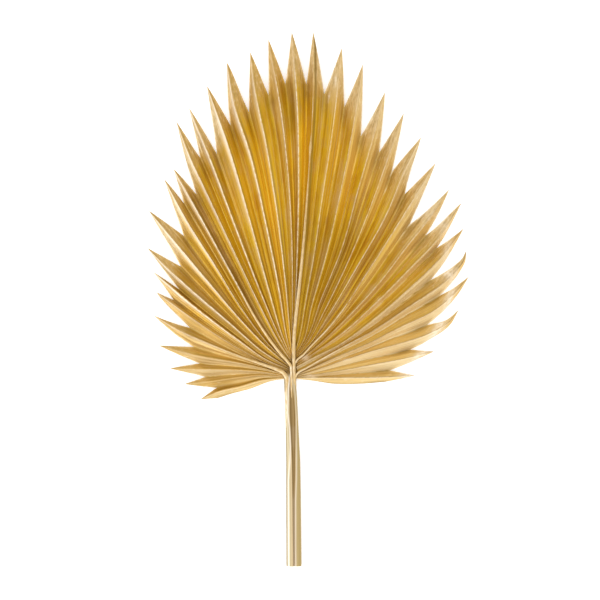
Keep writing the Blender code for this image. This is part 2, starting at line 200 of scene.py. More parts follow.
def to_frame(plan: np.ndarray, heights: np.ndarray) -> np.ndarray:
    """Places plan points in mm, with heights in mm, in the leaf's frame in metres.

    Args:
        plan: points with x and y in the last axis.
        heights: one height for each point.

    Returns:
        Points with x, y and z in the last axis.
    """
    x = (plan[..., 0] - PLAN_CENTRE[0]) * MM
    y = (PLAN_CENTRE[1] - plan[..., 1]) * MM
    return np.stack((x, y, heights * MM), axis=-1)


def smooth_through(points: np.ndarray, steps: int = 40) -> np.ndarray:
    """Draws a smooth line through points, by chord length.

    Args:
        points: the points, one a row.
        steps: how many places each span is cut into.

    Returns:
        The points of the line.
    """
    chords = np.linalg.norm(np.diff(points, axis=0), axis=1)
    gaps = np.diff(points, axis=0) / chords[:, None]
    slopes = np.empty_like(points)
    slopes[0], slopes[-1] = gaps[0], gaps[-1]
    before, after = chords[:-1, None], chords[1:, None]
    slopes[1:-1] = (gaps[:-1] * after + gaps[1:] * before) / (before + after)
    line = []
    for i, chord in enumerate(chords):
        t = np.linspace(0, 1, steps, endpoint=False)[:, None]
        line.append(
            (2 * t**3 - 3 * t**2 + 1) * points[i]
            + (t**3 - 2 * t**2 + t) * chord * slopes[i]
            + (3 * t**2 - 2 * t**3) * points[i + 1]
            + (t**3 - t**2) * chord * slopes[i + 1]
        )
    return np.vstack([*line, points[-1:]])


def smooth_step(low: float, high: float, value: np.ndarray) -> np.ndarray:
    """Rises smoothly from 0 at low to 1 at high."""
    t = np.clip((value - low) / (high - low), 0, 1)
    return t * t * (3 - 2 * t)


def soft_ramp(value: np.ndarray, rounding: np.ndarray) -> np.ndarray:
    """Rises from 0 at 0 to 1 at 1, with its start rounded."""
    return (np.sqrt(value**2 + rounding**2) - rounding) / (np.sqrt(1 + rounding**2) - rounding)


def spot_cover(spots: tuple[tuple[float, ...], ...], plan: np.ndarray) -> np.ndarray:
    """Works out how far soft round spots cover plan points.

    Args:
        spots: x, y, reach in x, reach in y and strength of each spot.
        plan: plan points.

    Returns:
        A share from 0 to 1 for each point.
    """
    covers = [
        strength * np.exp(-(((plan[..., 0] - x) / reach_x) ** 2) - ((plan[..., 1] - y) / reach_y) ** 2)
        for x, y, reach_x, reach_y, strength in spots
    ]
    return np.max(covers, axis=0)


class PlanLine:
    """Smooth line on the plan, found by its length in mm."""

    def __init__(self, points: tuple[tuple[float, float], ...]) -> None:
        """Draws the line through its measured points.

        Args:
            points: the points, in order.
        """
        self.points = smooth_through(np.array(points, dtype=float))
        steps = np.linalg.norm(np.diff(self.points, axis=0), axis=1)
        self.lengths = np.concatenate(([0], np.cumsum(steps)))

    @property
    def length(self) -> float:
        """Whole length in mm."""
        return float(self.lengths[-1])

    def at(self, lengths: np.ndarray) -> np.ndarray:
        """Points at lengths from the start."""
        places = [np.interp(lengths, self.lengths, self.points[:, axis]) for axis in (0, 1)]
        return np.stack(places, axis=-1)

    def frame(self, lengths: np.ndarray, step: float = 1.5) -> tuple[np.ndarray, np.ndarray]:
        """Finds unit directions along the line and to its right.

        Args:
            lengths: lengths from the start, in mm.
            step: how far ahead and back of each place the direction is measured, in mm.

        Returns:
            The directions along and across, one a row.
        """
        ahead = self.at(np.minimum(lengths + step, self.length)) - self.at(np.maximum(lengths - step, 0))
        along = ahead / np.linalg.norm(ahead, axis=1)[:, None]
        return along, np.stack((-along[:, 1], along[:, 0]), axis=-1)

    def reach(self, radius: float) -> float:
        """Length at which the line is a radius away from its start."""
        gaps = np.linalg.norm(self.points - self.points[0], axis=1)
        return float(self.lengths[int(np.argmax(gaps >= radius))])


def deselect_all() -> None:
    """Leaves nothing selected."""
    bpy.ops.object.select_all(action="DESELECT")


def make_active(piece: bpy.types.Object) -> None:
    """Selects one piece alone and makes it the active one.

    Args:
        piece: the piece.
    """
    deselect_all()
    piece.select_set(True)
    bpy.context.view_layer.objects.active = piece


def shaped_grid(name: str, points: np.ndarray) -> bpy.types.Object:
    """Adds a grid and lays it over a table of points.

    Args:
        name: name of the new object.
        points: rows by columns by 3, in metres.

    Returns:
        The grid object. Its vertices run row by row.
    """
    rows, columns = points.shape[:2]
    deselect_all()
    bpy.ops.mesh.primitive_grid_add(x_subdivisions=columns - 1, y_subdivisions=rows - 1, size=1)
    piece = bpy.context.object
    piece.name = piece.data.name = name
    flat = np.empty(len(piece.data.vertices) * 3)
    piece.data.vertices.foreach_get("co", flat)
    flat = flat.reshape(-1, 3)
    column = np.rint((flat[:, 0] + 0.5) * (columns - 1)).astype(int)
    row = np.rint((flat[:, 1] + 0.5) * (rows - 1)).astype(int)
    piece.data.vertices.foreach_set("co", points[row, column].ravel())
    piece.data["grid_rows"], piece.data["grid_columns"] = row.tolist(), column.tolist()
    return piece


def grid_places(piece: bpy.types.Object) -> tuple[np.ndarray, np.ndarray]:
    """Row and column of each vertex of a shaped grid."""
    return np.array(piece.data["grid_rows"]), np.array(piece.data["grid_columns"])


def dress_grid(piece: bpy.types.Object, veins: np.ndarray, values: dict[str, np.ndarray]) -> None:
    """Gives a shaped grid its vein map and its point values.

    Args:
        piece: the grid.
        veins: rows by columns by 2, across and along the veins in mm.
        values: name to a table of rows by columns.
    """
    mesh = piece.data
    row, column = grid_places(piece)
    corners = np.empty(len(mesh.loops), dtype=int)
    mesh.loops.foreach_get("vertex_index", corners)
    vein_map = mesh.uv_layers.active or mesh.uv_layers.new()
    vein_map.name = "vein_map"
    vein_map.uv.foreach_set("vector", veins[row, column][corners].astype(float).ravel())
    for name, table in values.items():
        layer = mesh.attributes.new(name, "FLOAT", "POINT")
        layer.data.foreach_set("value", table[row, column].astype(float))
    del mesh["grid_rows"], mesh["grid_columns"]


def join_pieces(pieces: list[bpy.types.Object], name: str) -> bpy.types.Object:
    """Joins objects into one mesh object.

    Args:
        pieces: the objects.
        name: name of the result.

    Returns:
        The joined object.
    """
    deselect_all()
    for piece in pieces:
        piece.select_set(True)
    bpy.context.view_layer.objects.active = pieces[0]
    bpy.ops.object.join()
    joined = bpy.context.object
    joined.name = joined.data.name = name
    return joined


def weld(piece: bpy.types.Object, gap: float = 2e-6) -> None:
    """Merges the vertices of a piece that lie close together.

    Args:
        piece: the piece.
        gap: how close, in metres.
    """
    make_active(piece)
    bpy.ops.object.mode_set(mode="EDIT")
    bpy.ops.mesh.select_all(action="SELECT")
    bpy.ops.mesh.remove_doubles(threshold=gap)
    bpy.ops.object.mode_set(mode="OBJECT")


def cap_ends(piece: bpy.types.Object) -> None:
    """Closes the open ends of a piece, turns its faces outwards and leaves nothing selected.

    Args:
        piece: the piece.
    """
    make_active(piece)
    bpy.ops.object.mode_set(mode="EDIT")
    bpy.ops.mesh.select_all(action="DESELECT")
    bpy.ops.mesh.select_non_manifold()
    bpy.ops.mesh.edge_face_add()
    bpy.ops.mesh.select_all(action="SELECT")
    bpy.ops.mesh.normals_make_consistent(inside=False)
    bpy.ops.mesh.select_all(action="DESELECT")
    bpy.ops.object.mode_set(mode="OBJECT")


def shade(piece: bpy.types.Object, degrees: float) -> None:
    """Shades a piece smooth, with edges sharper than an angle left sharp."""
    make_active(piece)
    bpy.ops.object.shade_smooth_by_angle(angle=math.radians(degrees))


@dataclass
class LeafletPaint:
    """How the paint lies on one leaflet. Lengths are in mm.

    Each table has a row for each step along the midrib and a column for each place
    across it, from the left edge over the crest to the right edge.

    Args:
        index: which leaflet.
        count: how many leaflets there are.
        plan: plan points.
        radius: distance of the crest from the hub.
        past: length past the slit, less than 0 where leaflets are joined.
        share: how far out each point is, from 0 at the crest to 1 at the edge.
        gap: distance from the crest.
        facing: how far the flank faces the side that the painted light comes from, from -1 to 1.
        hub_reaches: how far the inner and the outer ring of painted shade round the hub reach.
        costa: the leaflet that carries the thickest rib.
        own_spread: how far the tone of a single flank strays by chance.
        seed: seed of that chance.
    """

    index: int
    count: int
    plan: np.ndarray
    radius: np.ndarray
    past: np.ndarray
    share: np.ndarray
    gap: np.ndarray
    facing: np.ndarray
    hub_reaches: tuple[float, float] = (15.0, 55.0)
    costa: int = 18
    own_spread: float = 0.45
    seed: int = 7

    def __post_init__(self) -> None:
        """Works out where each point lies on the leaflet, and where the leaflet lies on the leaf."""
        self.place = np.array(self.index)
        self.on_right = np.arange(self.gap.shape[1])[None, :] > self.gap.shape[1] // 2
        self.on_left = ~self.on_right
        self.width = self.gap.max(axis=1)[:, None]
        self.from_rib = self.gap / (0.35 + 0.65 * np.clip(self.width / 5, 0, 1))
        reaches = (self.radius / reach for reach in self.hub_reaches)
        self.near_hub, self.around_hub = (np.exp(-(ratio**2)) for ratio in reaches)
        self.joined = 1 - smooth_step(-3, 3, self.past)
        self.lower_left = 1 - smooth_step(2, 7, self.place)
        self.lower_right = smooth_step(23, 30, self.place)
        self.right_half = smooth_step(17, 20, self.place)
        self.hollow = self.near_hub * self.among(3.5, 5, 8, 10.5)
        self.left_points = self.among(-2, -1, 5, 9) * smooth_step(-5, 15, self.past) * self.on_left

    def among(self, first: float, full: float, last: float, end: float) -> np.ndarray:
        """1 where the leaflet is one from full to last, falling to 0 at first and at end."""
        return smooth_step(first, full, self.place) * (1 - smooth_step(last, end, self.place))

    def lit(self) -> np.ndarray:
        """Works out the painted light on the tan paint of a flank, which is strongest where it faces the
        light.

        Returns:
            Shares from 0 to 1.
        """
        top_points = math.exp(-(((self.index - 15.5) / 2.1) ** 2)) * smooth_step(-20, 10, self.past)
        lit = np.maximum(0.5 + 0.5 * self.facing, 0.8 * smooth_step(27, 31, self.place))
        return lit * (1 - 0.85 * top_points * self.on_left) * (1 - 0.2 * self.left_points)

    def tan(self) -> np.ndarray:
        """Works out how far the gold turns tan: on the points and the lowest lobes, and as painted light on
        lit flanks.

        Returns:
            Shares from 0 to 1.
        """
        lobes = max(0.0, 1 - self.index / 9, 1 - (self.count - 1 - self.index) / 6)
        sunny = smooth_step(0.8, 0.95, self.facing) * smooth_step(-100, -30, self.past)
        sunny = sunny * (0.08 + 0.42 * (1 - smooth_step(8.5, 10.5, self.place)))
        early = 30 * self.right_half * (1 - 0.8 * self.among(18, 19, 20.5, 21.5))
        tan = np.maximum(smooth_step(-14 - early, 20, self.past), lobes)
        tan = np.maximum(np.maximum(tan, sunny), 0.8 * self.lower_right * self.on_right)
        tan = tan * (1 - 0.4 * smooth_step(27, 29, self.place) * self.on_left * self.joined)
        tan = tan * (1 - 0.6 * self.lower_left * self.on_right * self.joined)
        return tan * (1 - spot_cover(GOLD_SPOTS, self.plan))

    def point(self) -> np.ndarray:
        """Works out where the paint is paler, as it is far out on the free points.

        Returns:
            Shares from 0 to 1.
        """
        calm = np.maximum(0.5 * self.among(12, 14, 18, 20), 0.5 * self.among(-2, -1, 5, 8))
        calm = np.maximum(calm, 0.3 * self.among(8, 9, 12, 14))
        return smooth_step(-4, 22, self.past) * (1 - 0.6 * self.lower_right * self.on_left) * (1 - calm)

    def ridge(self) -> np.ndarray:
        """Works out how far the midrib is painted cream, partly a painted highlight where it faces the
        light.

        Returns:
            Shares from 0 to 1.
        """
        line = 1 - smooth_step(0.3, 1.05 - 0.1 * self.right_half, self.from_rib)
        turned = self.facing.max(axis=1)[:, None]
        ridge = line * (1 - 0.8 * smooth_step(-8, 25, self.past))
        ridge = ridge * (0.6 + 0.4 * smooth_step(0.2, 0.9, turned))
        ridge = ridge * (1 - 0.5 * self.around_hub) * (1 - 0.8 * self.lower_left) * (1 - 0.8 * self.hollow)
        ridge = ridge * (1 - 0.1 * self.right_half) * (1 - 0.4 * self.lower_right)
        ridge = ridge * (1 - 0.25 * smooth_step(13.5, 16, self.place))
        if self.index == self.costa:
            ridge = ridge * (1 - 0.75 * smooth_step(150, 220, self.radius))
        return ridge

    def painted_highlight(self) -> np.ndarray:
        """Works out the painted highlight beside the midrib, on flanks that face the light.

        Returns:
            Shares from 0 to 1.
        """
        band = np.clip(0.16 * self.width, 1.0, 2.2) * (1 + 0.5 * smooth_step(-60, 0, self.past))
        painted_highlight = smooth_step(0.1, 0.9, self.facing) * np.exp(-((self.gap / band) ** 2))
        painted_highlight = painted_highlight * (1 - 0.85 * smooth_step(13, 16, self.place)) * (1 - 0.75 * self.lower_left)
        painted_highlight = painted_highlight * (1 - 0.3 * self.around_hub) * (0.4 + 0.6 * smooth_step(-120, -20, self.past))
        return painted_highlight * (1 - 0.6 * smooth_step(10, 60, self.past))

    def wash(self) -> np.ndarray:
        """Works out where the paint is honey coloured and paler yet, most on the lobes, partly as painted
        light.

        Returns:
            Shares from 0 over 0.45, honey, to 1, pale gold.
        """
        lobes = smooth_step(22, 28, self.place), 0.45 * smooth_step(28, 30.5, self.place)
        wash = np.where(self.on_right, *lobes)
        upper_right = 0.35 * self.among(18, 20, 22, 24) * self.on_right * smooth_step(-90, -30, self.past)
        wash = np.maximum(wash, upper_right)
        wash = np.maximum(wash, self.lower_left * (0.25 + 0.65 * smooth_step(0, 0.5, self.facing)))
        wash = wash * (0.7 + 0.3 * smooth_step(-0.5, 1.5, self.place))
        wash = wash * (1 - 0.35 * smooth_step(31, 32, self.place))
        wash = wash * (0.85 + 0.15 * np.sin(math.pi * np.clip(self.share, 0, 1)))
        return wash * (1 - 0.5 * smooth_step(0, 30, self.past))

    def shade(self) -> np.ndarray:
        """Works out the painted shade in folds, at slits, beside ribs and round the hub, and brown spots.

        Returns:
            Shares from 0 to 1.
        """
        beside = smooth_step(0.8, 1.15, self.from_rib) * (1 - smooth_step(1.5, 3.6, self.from_rib))
        beside = beside * (1 - self.lit()) * (0.3 + 0.7 * self.joined)
        crease = smooth_step(0.85, 1, self.share) * self.joined
        crease = crease + (1 - smooth_step(0.4, 1.6, self.gap)) * self.on_left
        notch = smooth_step(0.35, 0.9, self.share) * smooth_step(-30, -6, self.past)
        notch = notch * (1 - smooth_step(-2, 6, self.past))
        ring = np.exp(-(((self.radius - 90) / 45) ** 2)) * self.among(6, 10, 19, 23)
        calm = np.maximum(self.near_hub, 0.5 * smooth_step(14, 17, self.place))
        shade = 0.06 * self.near_hub + 0.04 * self.around_hub + 0.6 * self.hollow + 0.14 * ring
        shade = shade + 0.35 * notch + 0.5 * self.lower_right * crease + 0.15 * self.left_points
        inner = self.joined * (1 - smooth_step(120, 190, self.radius) * smooth_step(17.5, 19, self.place))
        shade = shade + 0.7 * beside * (1 - calm) + 0.15 * self.among(17, 18.5, 21, 22.5) * inner
        # Painted shadow of the thickest rib on its right flank.
        if self.index == self.costa:
            strip = smooth_step(1.0, 1.5, self.gap) * (1 - smooth_step(3.2, 4.4, self.gap))
            strip = strip * smooth_step(60, 130, self.radius) * self.on_right
            shade = np.maximum(shade, 0.75 * strip)
        return np.clip(np.maximum(shade, spot_cover(BROWN_SPOTS, self.plan)), 0, 1)

    def edge(self) -> np.ndarray:
        """Works out the painted highlights: silvery rims facing the light, glints near tips, glint spots
        and lips.

        Returns:
            Shares from 0 to 1.
        """
        edge = smooth_step(0.8, 1, self.share) * smooth_step(0, 10, self.past)
        edge = edge * smooth_step(-0.7, 0.3, self.facing)
        edge = np.maximum(edge, self.lower_right * np.exp(-(((self.past - 20) / 7.5) ** 2)))
        edge = np.maximum(edge, spot_cover(PAINTED_GLINT_SPOTS, self.plan))
        if self.index in PAINTED_LIP_HIGHLIGHTS:
            reach = PAINTED_LIP_HIGHLIGHTS[self.index]
            lip = smooth_step(-reach, 0.2 * reach, self.past) * smooth_step(0.93, 1, self.share)
            edge = np.maximum(edge, lip * self.on_right)
        return edge

    def tone(self) -> np.ndarray:
        """Works out how much yellower or browner than the rest each flank is.

        Returns:
            Tones from about -1, brown, to 1, yellow.
        """
        rng = np.random.default_rng(self.seed + 31 * self.index)
        own = rng.uniform(-self.own_spread, self.own_spread, 2) + OWN_TONE.get(self.index, (0, 0))
        tone = np.where(self.on_right, own[1], own[0]) + 0.5 * self.lower_left * self.on_right
        tone = tone + 0.8 * self.right_half * self.on_right * smooth_step(-90, -25, self.past)
        near_slit = 0.7 * smooth_step(-70, -20, self.past) * (1 - self.right_half)
        tone = np.where(tone > 0, tone * (1 - near_slit), tone)
        gold = spot_cover(GOLD_SPOTS, self.plan)
        return tone * (1 - gold) + gold

    def weights(self) -> dict[str, np.ndarray]:
        """Collects every table under the name that the material reads.

        Returns:
            Name to table.
        """
        return {
            "tan": self.tan(), "point": self.point(), "ridge": self.ridge(), "painted_highlight": self.painted_highlight(),
            "wash": self.wash(), "edge": self.edge(), "shade": self.shade(), "lit": self.lit(),
            "tone": self.tone(),
        }


@dataclass
class PalmBlade:
    """Pleated blade of pointed leaflets, grown together up to their slits. Sizes are in mm."""

    skin: float = 0.75
    # Slope of the flanks where leaflets are joined and at their tips, and how far the tips sink.
    pleat_slope: float = 0.8
    point_slope: float = 0.55
    point_droop: float = 0.15
    hub_lift: float = 1.2
    hub_reach: float = 60.0
    # Turn from the middle leaflet at which the blade lies lowest, and at which it is high again.
    dip_angle: float = 45.0
    rise_angle: float = 112.5
    warp: float = 1.7
    warp_radius: float = 240.0
    rib_half_width: float = 1.0
    rib_height: float = 0.45
    # Size of a midrib at the hub as a share of its full size, how fast it grows from there, its half
    # width at the tip, and its half width at most as a share of the flank.
    rib_start: float = 0.35
    rib_growth: float = 2.0
    rib_end: float = 0.05
    rib_share: float = 0.5
    # Rounding of ridges and valleys, and the rounding at most as a share of the flank.
    ridge_round: float = 1.2
    valley_round: float = 1.5
    round_limit: float = 0.5
    branch_half_width: float = 1.9
    branch_height: float = 1.9
    branches: tuple[int, ...] = (4, 10, 18, 24, 28)
    joined_rows: int = 40
    point_rows: int = 20
    rib_columns: int = 3
    flank_columns: int = 9
    # How much the rows crowd towards the hub, and towards a tip: 1 is evenly spaced.
    hub_crowding: float = 1.3
    tip_crowding: float = 1.15
    # Small folds of a flank: how many, then their place, depth, width and sway, with places, widths
    # and sway as shares of the flank, and how slowly they sway along it. Flanks narrower than
    # fold_width have weaker ones.
    crease_count: int = 4
    crease_places: tuple[float, float] = (0.2, 0.85)
    crease_depth: float = 0.42
    crease_width: float = 0.075
    crease_sway: float = 0.05
    sway_length: tuple[float, float] = (25, 60)
    fold_width: float = 8.0
    # Bulge of a whole flank, and the ripple across its point, which comes and goes along it.
    bulge: tuple[float, float] = (-0.25, 0.45)
    ripple_height: float = 0.1
    ripple_length: tuple[float, float] = (5, 9)
    swell_length: tuple[float, float] = (13, 21)
    sharp_angle: float = 50.0
    vein_shift: float = 60.0
    # Plan direction that the painted light comes from: flanks that face it get painted light.
    painted_light_side: tuple[float, float] = (-0.6, 0.8)
    seed: int = 7
    midribs: list[PlanLine] = field(default_factory=lambda: [PlanLine(points) for points in MIDRIBS])

    def __post_init__(self) -> None:
        """Works out what all leaflets share."""
        ends = np.array((LEFT_MARGIN[-1], *SLITS, RIGHT_MARGIN[-1]))
        self.depths = [
            rib.reach(float(np.mean(np.linalg.norm(ends[i:i + 2] - rib.points[0], axis=1))))
            for i, rib in enumerate(self.midribs)
        ]
        self.shares = np.linspace(0, 1, self.joined_rows + 1) ** self.hub_crowding
        self.valleys = self.valley_lines()
        self.level, self.tilt = self.table_level()

    def kind(self, index: int) -> RibKind:
        """Kind of midrib that a leaflet has."""
        return RibKind.BRANCH if index in self.branches else RibKind.FINE

    def valley_lines(self) -> list[np.ndarray]:
        """Finds the valley between each two leaflets, with the outer margins at both ends.

        Returns:
            Plan points of each valley, one for each joined row.
        """
        lines = [self.margin(LEFT_MARGIN)]
        for i, slit in enumerate(SLITS):
            a, b = (self.midribs[j].at(self.depths[j] * self.shares) for j in (i, i + 1))
            shift = np.array(slit) - (a[-1] + b[-1]) / 2
            lines.append((a + b) / 2 + shift * self.shares[:, None])
        lines.append(self.margin(RIGHT_MARGIN))
        return lines

    def margin(self, points: tuple[tuple[float, float], ...]) -> np.ndarray:
        """Plan points of an outer margin, one for each joined row."""
        line = PlanLine(points)
        return line.at(line.length * self.shares)

    def lift(self, plan: np.ndarray) -> np.ndarray:
        """Finds how high the valleys lie.

        Args:
            plan: plan points.

        Returns:
            A height in mm for each point.
        """
        radius = np.hypot(plan[..., 0] - HUB[0], plan[..., 1] - HUB[1])
        turn = np.degrees(np.abs(np.arctan2(plan[..., 0] - HUB[0], HUB[1] - plan[..., 1])))
        inner = np.cos(math.pi * turn / self.dip_angle)
        outer = -np.cos(math.pi * (turn - self.dip_angle) / (self.rise_angle - self.dip_angle))
        wave = np.where(turn < self.dip_angle, inner, outer)
        near = self.hub_lift * np.exp(-((radius / self.hub_reach) ** 2))
        return near + self.warp * wave * (radius / self.warp_radius) ** 2

    def table_level(self) -> tuple[float, float]:
        """Finds the plane that touches the lowest spot on either side of the hub.

        Returns:
            Its height at x = 0, in mm, and its slope.
        """
        spots = np.vstack(self.valleys)
        heights = self.lift(spots)
        lowest = []
        for side in (spots[:, 0] < HUB[0], spots[:, 0] > HUB[0]):
            index = np.flatnonzero(side)[np.argmin(heights[side])]
            lowest.append((spots[index, 0], heights[index]))
        (x_left, z_left), (x_right, z_right) = lowest
        tilt = (z_right - z_left) / (x_right - x_left)
        return z_left - tilt * x_left, tilt

    def above_table(self, plan: np.ndarray, heights: np.ndarray) -> np.ndarray:
        """Heights over the table of the blade's upper face."""
        return heights - self.level - self.tilt * plan[..., 0] + self.skin

    def rib_size(self, index: int, shares: np.ndarray) -> tuple[np.ndarray, np.ndarray]:
        """Works out how big a midrib is.

        Args:
            index: which leaflet.
            shares: places along it, as shares of the joined depth.

        Returns:
            Its half width and its height at each place, in mm.
        """
        grow = np.minimum(1, self.rib_start + shares * self.rib_growth)
        width, height = self.rib_half_width * grow, self.rib_height * grow
        if self.kind(index) is RibKind.BRANCH:
            fade = (1 - np.minimum(shares, 1)) ** 2
            width = width + (self.branch_half_width - self.rib_half_width) * fade
            height = height + (self.branch_height - self.rib_height) * fade
        return width, height

    def spine(self, index: int) -> dict[str, np.ndarray]:
        """Works out a leaflet row by row.

        Args:
            index: which leaflet.

        Returns:
            Plan points of the crest and both edges, their heights, the midrib's
            size, the length along, and how far past the slit each row is.
        """
        rib, depth = self.midribs[index], self.depths[index]
        inner = depth * self.shares
        crest, (left, right) = rib.at(inner), self.valleys[index:index + 2]
        along, across = rib.frame(inner)
        half = np.abs(np.sum((right - left) * across, axis=1)) / 2
        low_left, low_right = self.lift(left), self.lift(right)
        top = (low_left + low_right) / 2 + self.pleat_slope * half
        width, height = self.rib_size(index, self.shares)

        share = 1 - (1 - np.linspace(0, 1, self.point_rows + 1)[1:]) ** self.tip_crowding
        outer = depth + (rib.length - depth) * share
        point_crest = rib.at(outer)
        point_along, point_across = rib.frame(outer)
        fullness = OWN_FULLNESS.get(index, EDGE_FULLNESS)
        edges = []
        for end, full in zip((left[-1], right[-1]), fullness):
            gap = end - crest[-1]
            amounts = gap @ along[-1], gap @ across[-1]
            taper = ((1 - share) ** full)[:, None]
            edges.append(point_crest + taper * (amounts[0] * point_along + amounts[1] * point_across))
        point_half = np.abs(np.sum((edges[1] - edges[0]) * point_across, axis=1)) / 2
        slope = self.pleat_slope + (self.point_slope - self.pleat_slope) * share
        point_top = top[-1] * (1 - self.point_droop * share)
        drop = point_top - slope * point_half
        fade = (1 - share) ** 0.5
        return {
            "crest": np.vstack((crest, point_crest)),
            "left": np.vstack((left, edges[0])),
            "right": np.vstack((right, edges[1])),
            "top": np.concatenate((top, point_top)),
            "ridge_top": np.concatenate((top + height, point_top + height[-1] * fade)),
            "low_left": np.concatenate((low_left, drop)),
            "low_right": np.concatenate((low_right, drop)),
            "rib_width": np.concatenate((width, width[-1] * fade + self.rib_end)),
            "rib_height": np.concatenate((height, height[-1] * fade)),
            "length": np.concatenate((inner, outer)),
            "past_slit": np.concatenate((inner, outer)) - depth,
            "share": np.concatenate((self.shares, 1 + share)),
        }

    def leaflet_tables(self, index: int) -> tuple[np.ndarray, np.ndarray, dict[str, np.ndarray]]:
        """Works out the surface of one leaflet.

        Args:
            index: which leaflet.

        Returns:
            Surface points, vein map and paint weights, each rows by columns.
        """
        spine = self.spine(index)
        sides = [
            self.flank(index, spine, spine[name], spine[low], name == "left")
            for name, low in (("left", "low_left"), ("right", "low_right"))
        ]
        points, across, share, gap, facing = (
            np.concatenate((left[:, :0:-1], right), axis=1) for left, right in zip(*sides)
        )
        spreads = (spine[name][:, None] for name in ("length", "past_slit"))
        length, past = (np.repeat(spread, gap.shape[1], axis=1) for spread in spreads)
        veins = np.stack((across + self.vein_shift * index, length), axis=-1)
        plan = np.array(PLAN_CENTRE) + points[..., :2] * np.array((1, -1)) / MM
        radius = np.hypot(*(spine["crest"] - np.array(HUB)).T)[:, None]
        paint = LeafletPaint(index, len(self.midribs), plan, radius, past, share, gap, facing)
        return points, veins, paint.weights()

    def flank(
        self, index: int, spine: dict[str, np.ndarray], edge: np.ndarray, low: np.ndarray, left: bool
    ) -> tuple[np.ndarray, ...]:
        """Works out one flank, from the crest out to its edge.

        Args:
            index: which leaflet.
            spine: the leaflet row by row.
            edge: plan points of the edge.
            low: heights of the edge.
            left: whether this is the left flank.

        Returns:
            Points, distance across the veins, share out to the edge, distance from
            the crest, and how far the flank faces the side that the painted light comes from.
        """
        crest, width = spine["crest"], np.linalg.norm(edge - spine["crest"], axis=1)
        rib = np.minimum(spine["rib_width"], width * self.rib_share)
        span = np.maximum(width, 1e-6)
        inner = np.linspace(0, 1, self.rib_columns + 1)[None, :] * (rib / span)[:, None]
        outer = np.linspace(0, 1, self.flank_columns + 1)[None, 1:]
        outer = (rib / span)[:, None] + outer * (1 - rib / span)[:, None]
        share = np.concatenate((inner, outer), axis=1)
        plan = crest[:, None, :] + (edge - crest)[:, None, :] * share[..., None]
        gap = share * width[:, None]

        valley_round = np.minimum(self.round_limit, self.valley_round / np.maximum(span, 0.5))[:, None]
        crest_round = np.minimum(self.round_limit, self.ridge_round * rib / span)[:, None]
        ramp = 1 - soft_ramp(1 - soft_ramp(1 - share, valley_round), crest_round)
        height = low[:, None] + (spine["top"] - low)[:, None] * ramp
        dome = np.clip(gap / np.maximum(rib, 1e-6)[:, None], 0, 1)
        height = height + spine["rib_height"][:, None] * np.cos(dome * math.pi / 2) ** 2
        height = height + self.creases(index, spine, share, gap, left)

        notch_width = width[self.joined_rows]
        joined = (spine["share"] <= 1)[:, None]
        across = np.where(joined, share * notch_width, gap) * (-1 if left else 1)
        away = (edge - crest) / span[:, None]
        facing = np.repeat((away @ np.array(self.painted_light_side))[:, None], share.shape[1], axis=1)
        facing[:, 0] = 0
        return to_frame(plan, self.above_table(plan, height)), across, share, gap, facing

    def creases(
        self, index: int, spine: dict[str, np.ndarray], share: np.ndarray, gap: np.ndarray, left: bool
    ) -> np.ndarray:
        """Works out the small folds of one flank, which follow its veins.

        Args:
            index: which leaflet.
            spine: the leaflet row by row.
            share: how far out each point is, from 0 at the crest to 1 at the edge.
            gap: distance from the crest, in mm.
            left: whether this is the left flank.

        Returns:
            Heights to add, in mm.
        """
        rng = np.random.default_rng(self.seed * 1000 + index * 2 + int(left))
        along = spine["length"][:, None]
        calm = np.sin(np.clip(share, 0, 1) * math.pi)
        size = np.minimum(1, gap.max(axis=1) / self.fold_width)[:, None]
        result = np.zeros_like(share)
        for _ in range(self.crease_count):
            place = rng.uniform(*self.crease_places)
            sway = self.crease_sway * np.sin(along / rng.uniform(*self.sway_length) + rng.uniform(0, 6))
            depth = rng.uniform(-self.crease_depth, self.crease_depth)
            result += depth * np.exp(-(((share - place - sway) / self.crease_width) ** 2))
        result += rng.uniform(*self.bulge) * calm
        ripple = np.sin(along / rng.uniform(*self.ripple_length) + rng.uniform(0, 6))
        ripple = ripple * np.sin(along / rng.uniform(*self.swell_length))
        result += self.ripple_height * ripple * calm * smooth_step(-25, 10, spine["past_slit"])[:, None]
        return result * size * np.minimum(1, share * 4)

    def build(self, finish: bpy.types.Material) -> bpy.types.Object:
        """Models all leaflets, joins them and gives the sheet its thickness.

        Args:
            finish: the blade's material.

        Returns:
            The blade.
        """
        leaflets = []
        for index in range(len(self.midribs)):
            points, veins, values = self.leaflet_tables(index)
            leaflet = shaped_grid(f"leaflet_{index + 1:02d}", points)
            dress_grid(leaflet, veins, values)
            leaflets.append(leaflet)
        blade = join_pieces(leaflets, "pleated_blade")
        weld(blade)
        make_active(blade)
        bpy.ops.object.mode_set(mode="EDIT")
        bpy.ops.mesh.select_all(action="SELECT")
        bpy.ops.mesh.extrude_region_move(TRANSFORM_OT_translate={"value": (0, 0, -self.skin * MM)})
        bpy.ops.mesh.select_all(action="SELECT")
        bpy.ops.mesh.normals_make_consistent(inside=False)
        bpy.ops.object.mode_set(mode="OBJECT")
        shade(blade, self.sharp_angle)
        blade.data.materials.append(finish)
        return blade


@dataclass(frozen=True)
class Branch:
    """One thick rib: its stem inside the petiole, then its stops along a leaflet's midrib. Sizes are in mm.

    Stem stops are plan x, plan y, height of the top and half width. Midrib stops
    are length from the hub, height over the midrib's own crest and half width.
    """

    leaflet: int
    stem: tuple[tuple[float, float, float, float], ...]
    stops: tuple[tuple[float, float, float], ...]
    # How pale the top of the stem and of the rest is: a painted highlight along the rib.
    stem_cream: float = 0.1
    cream: float = 0.6


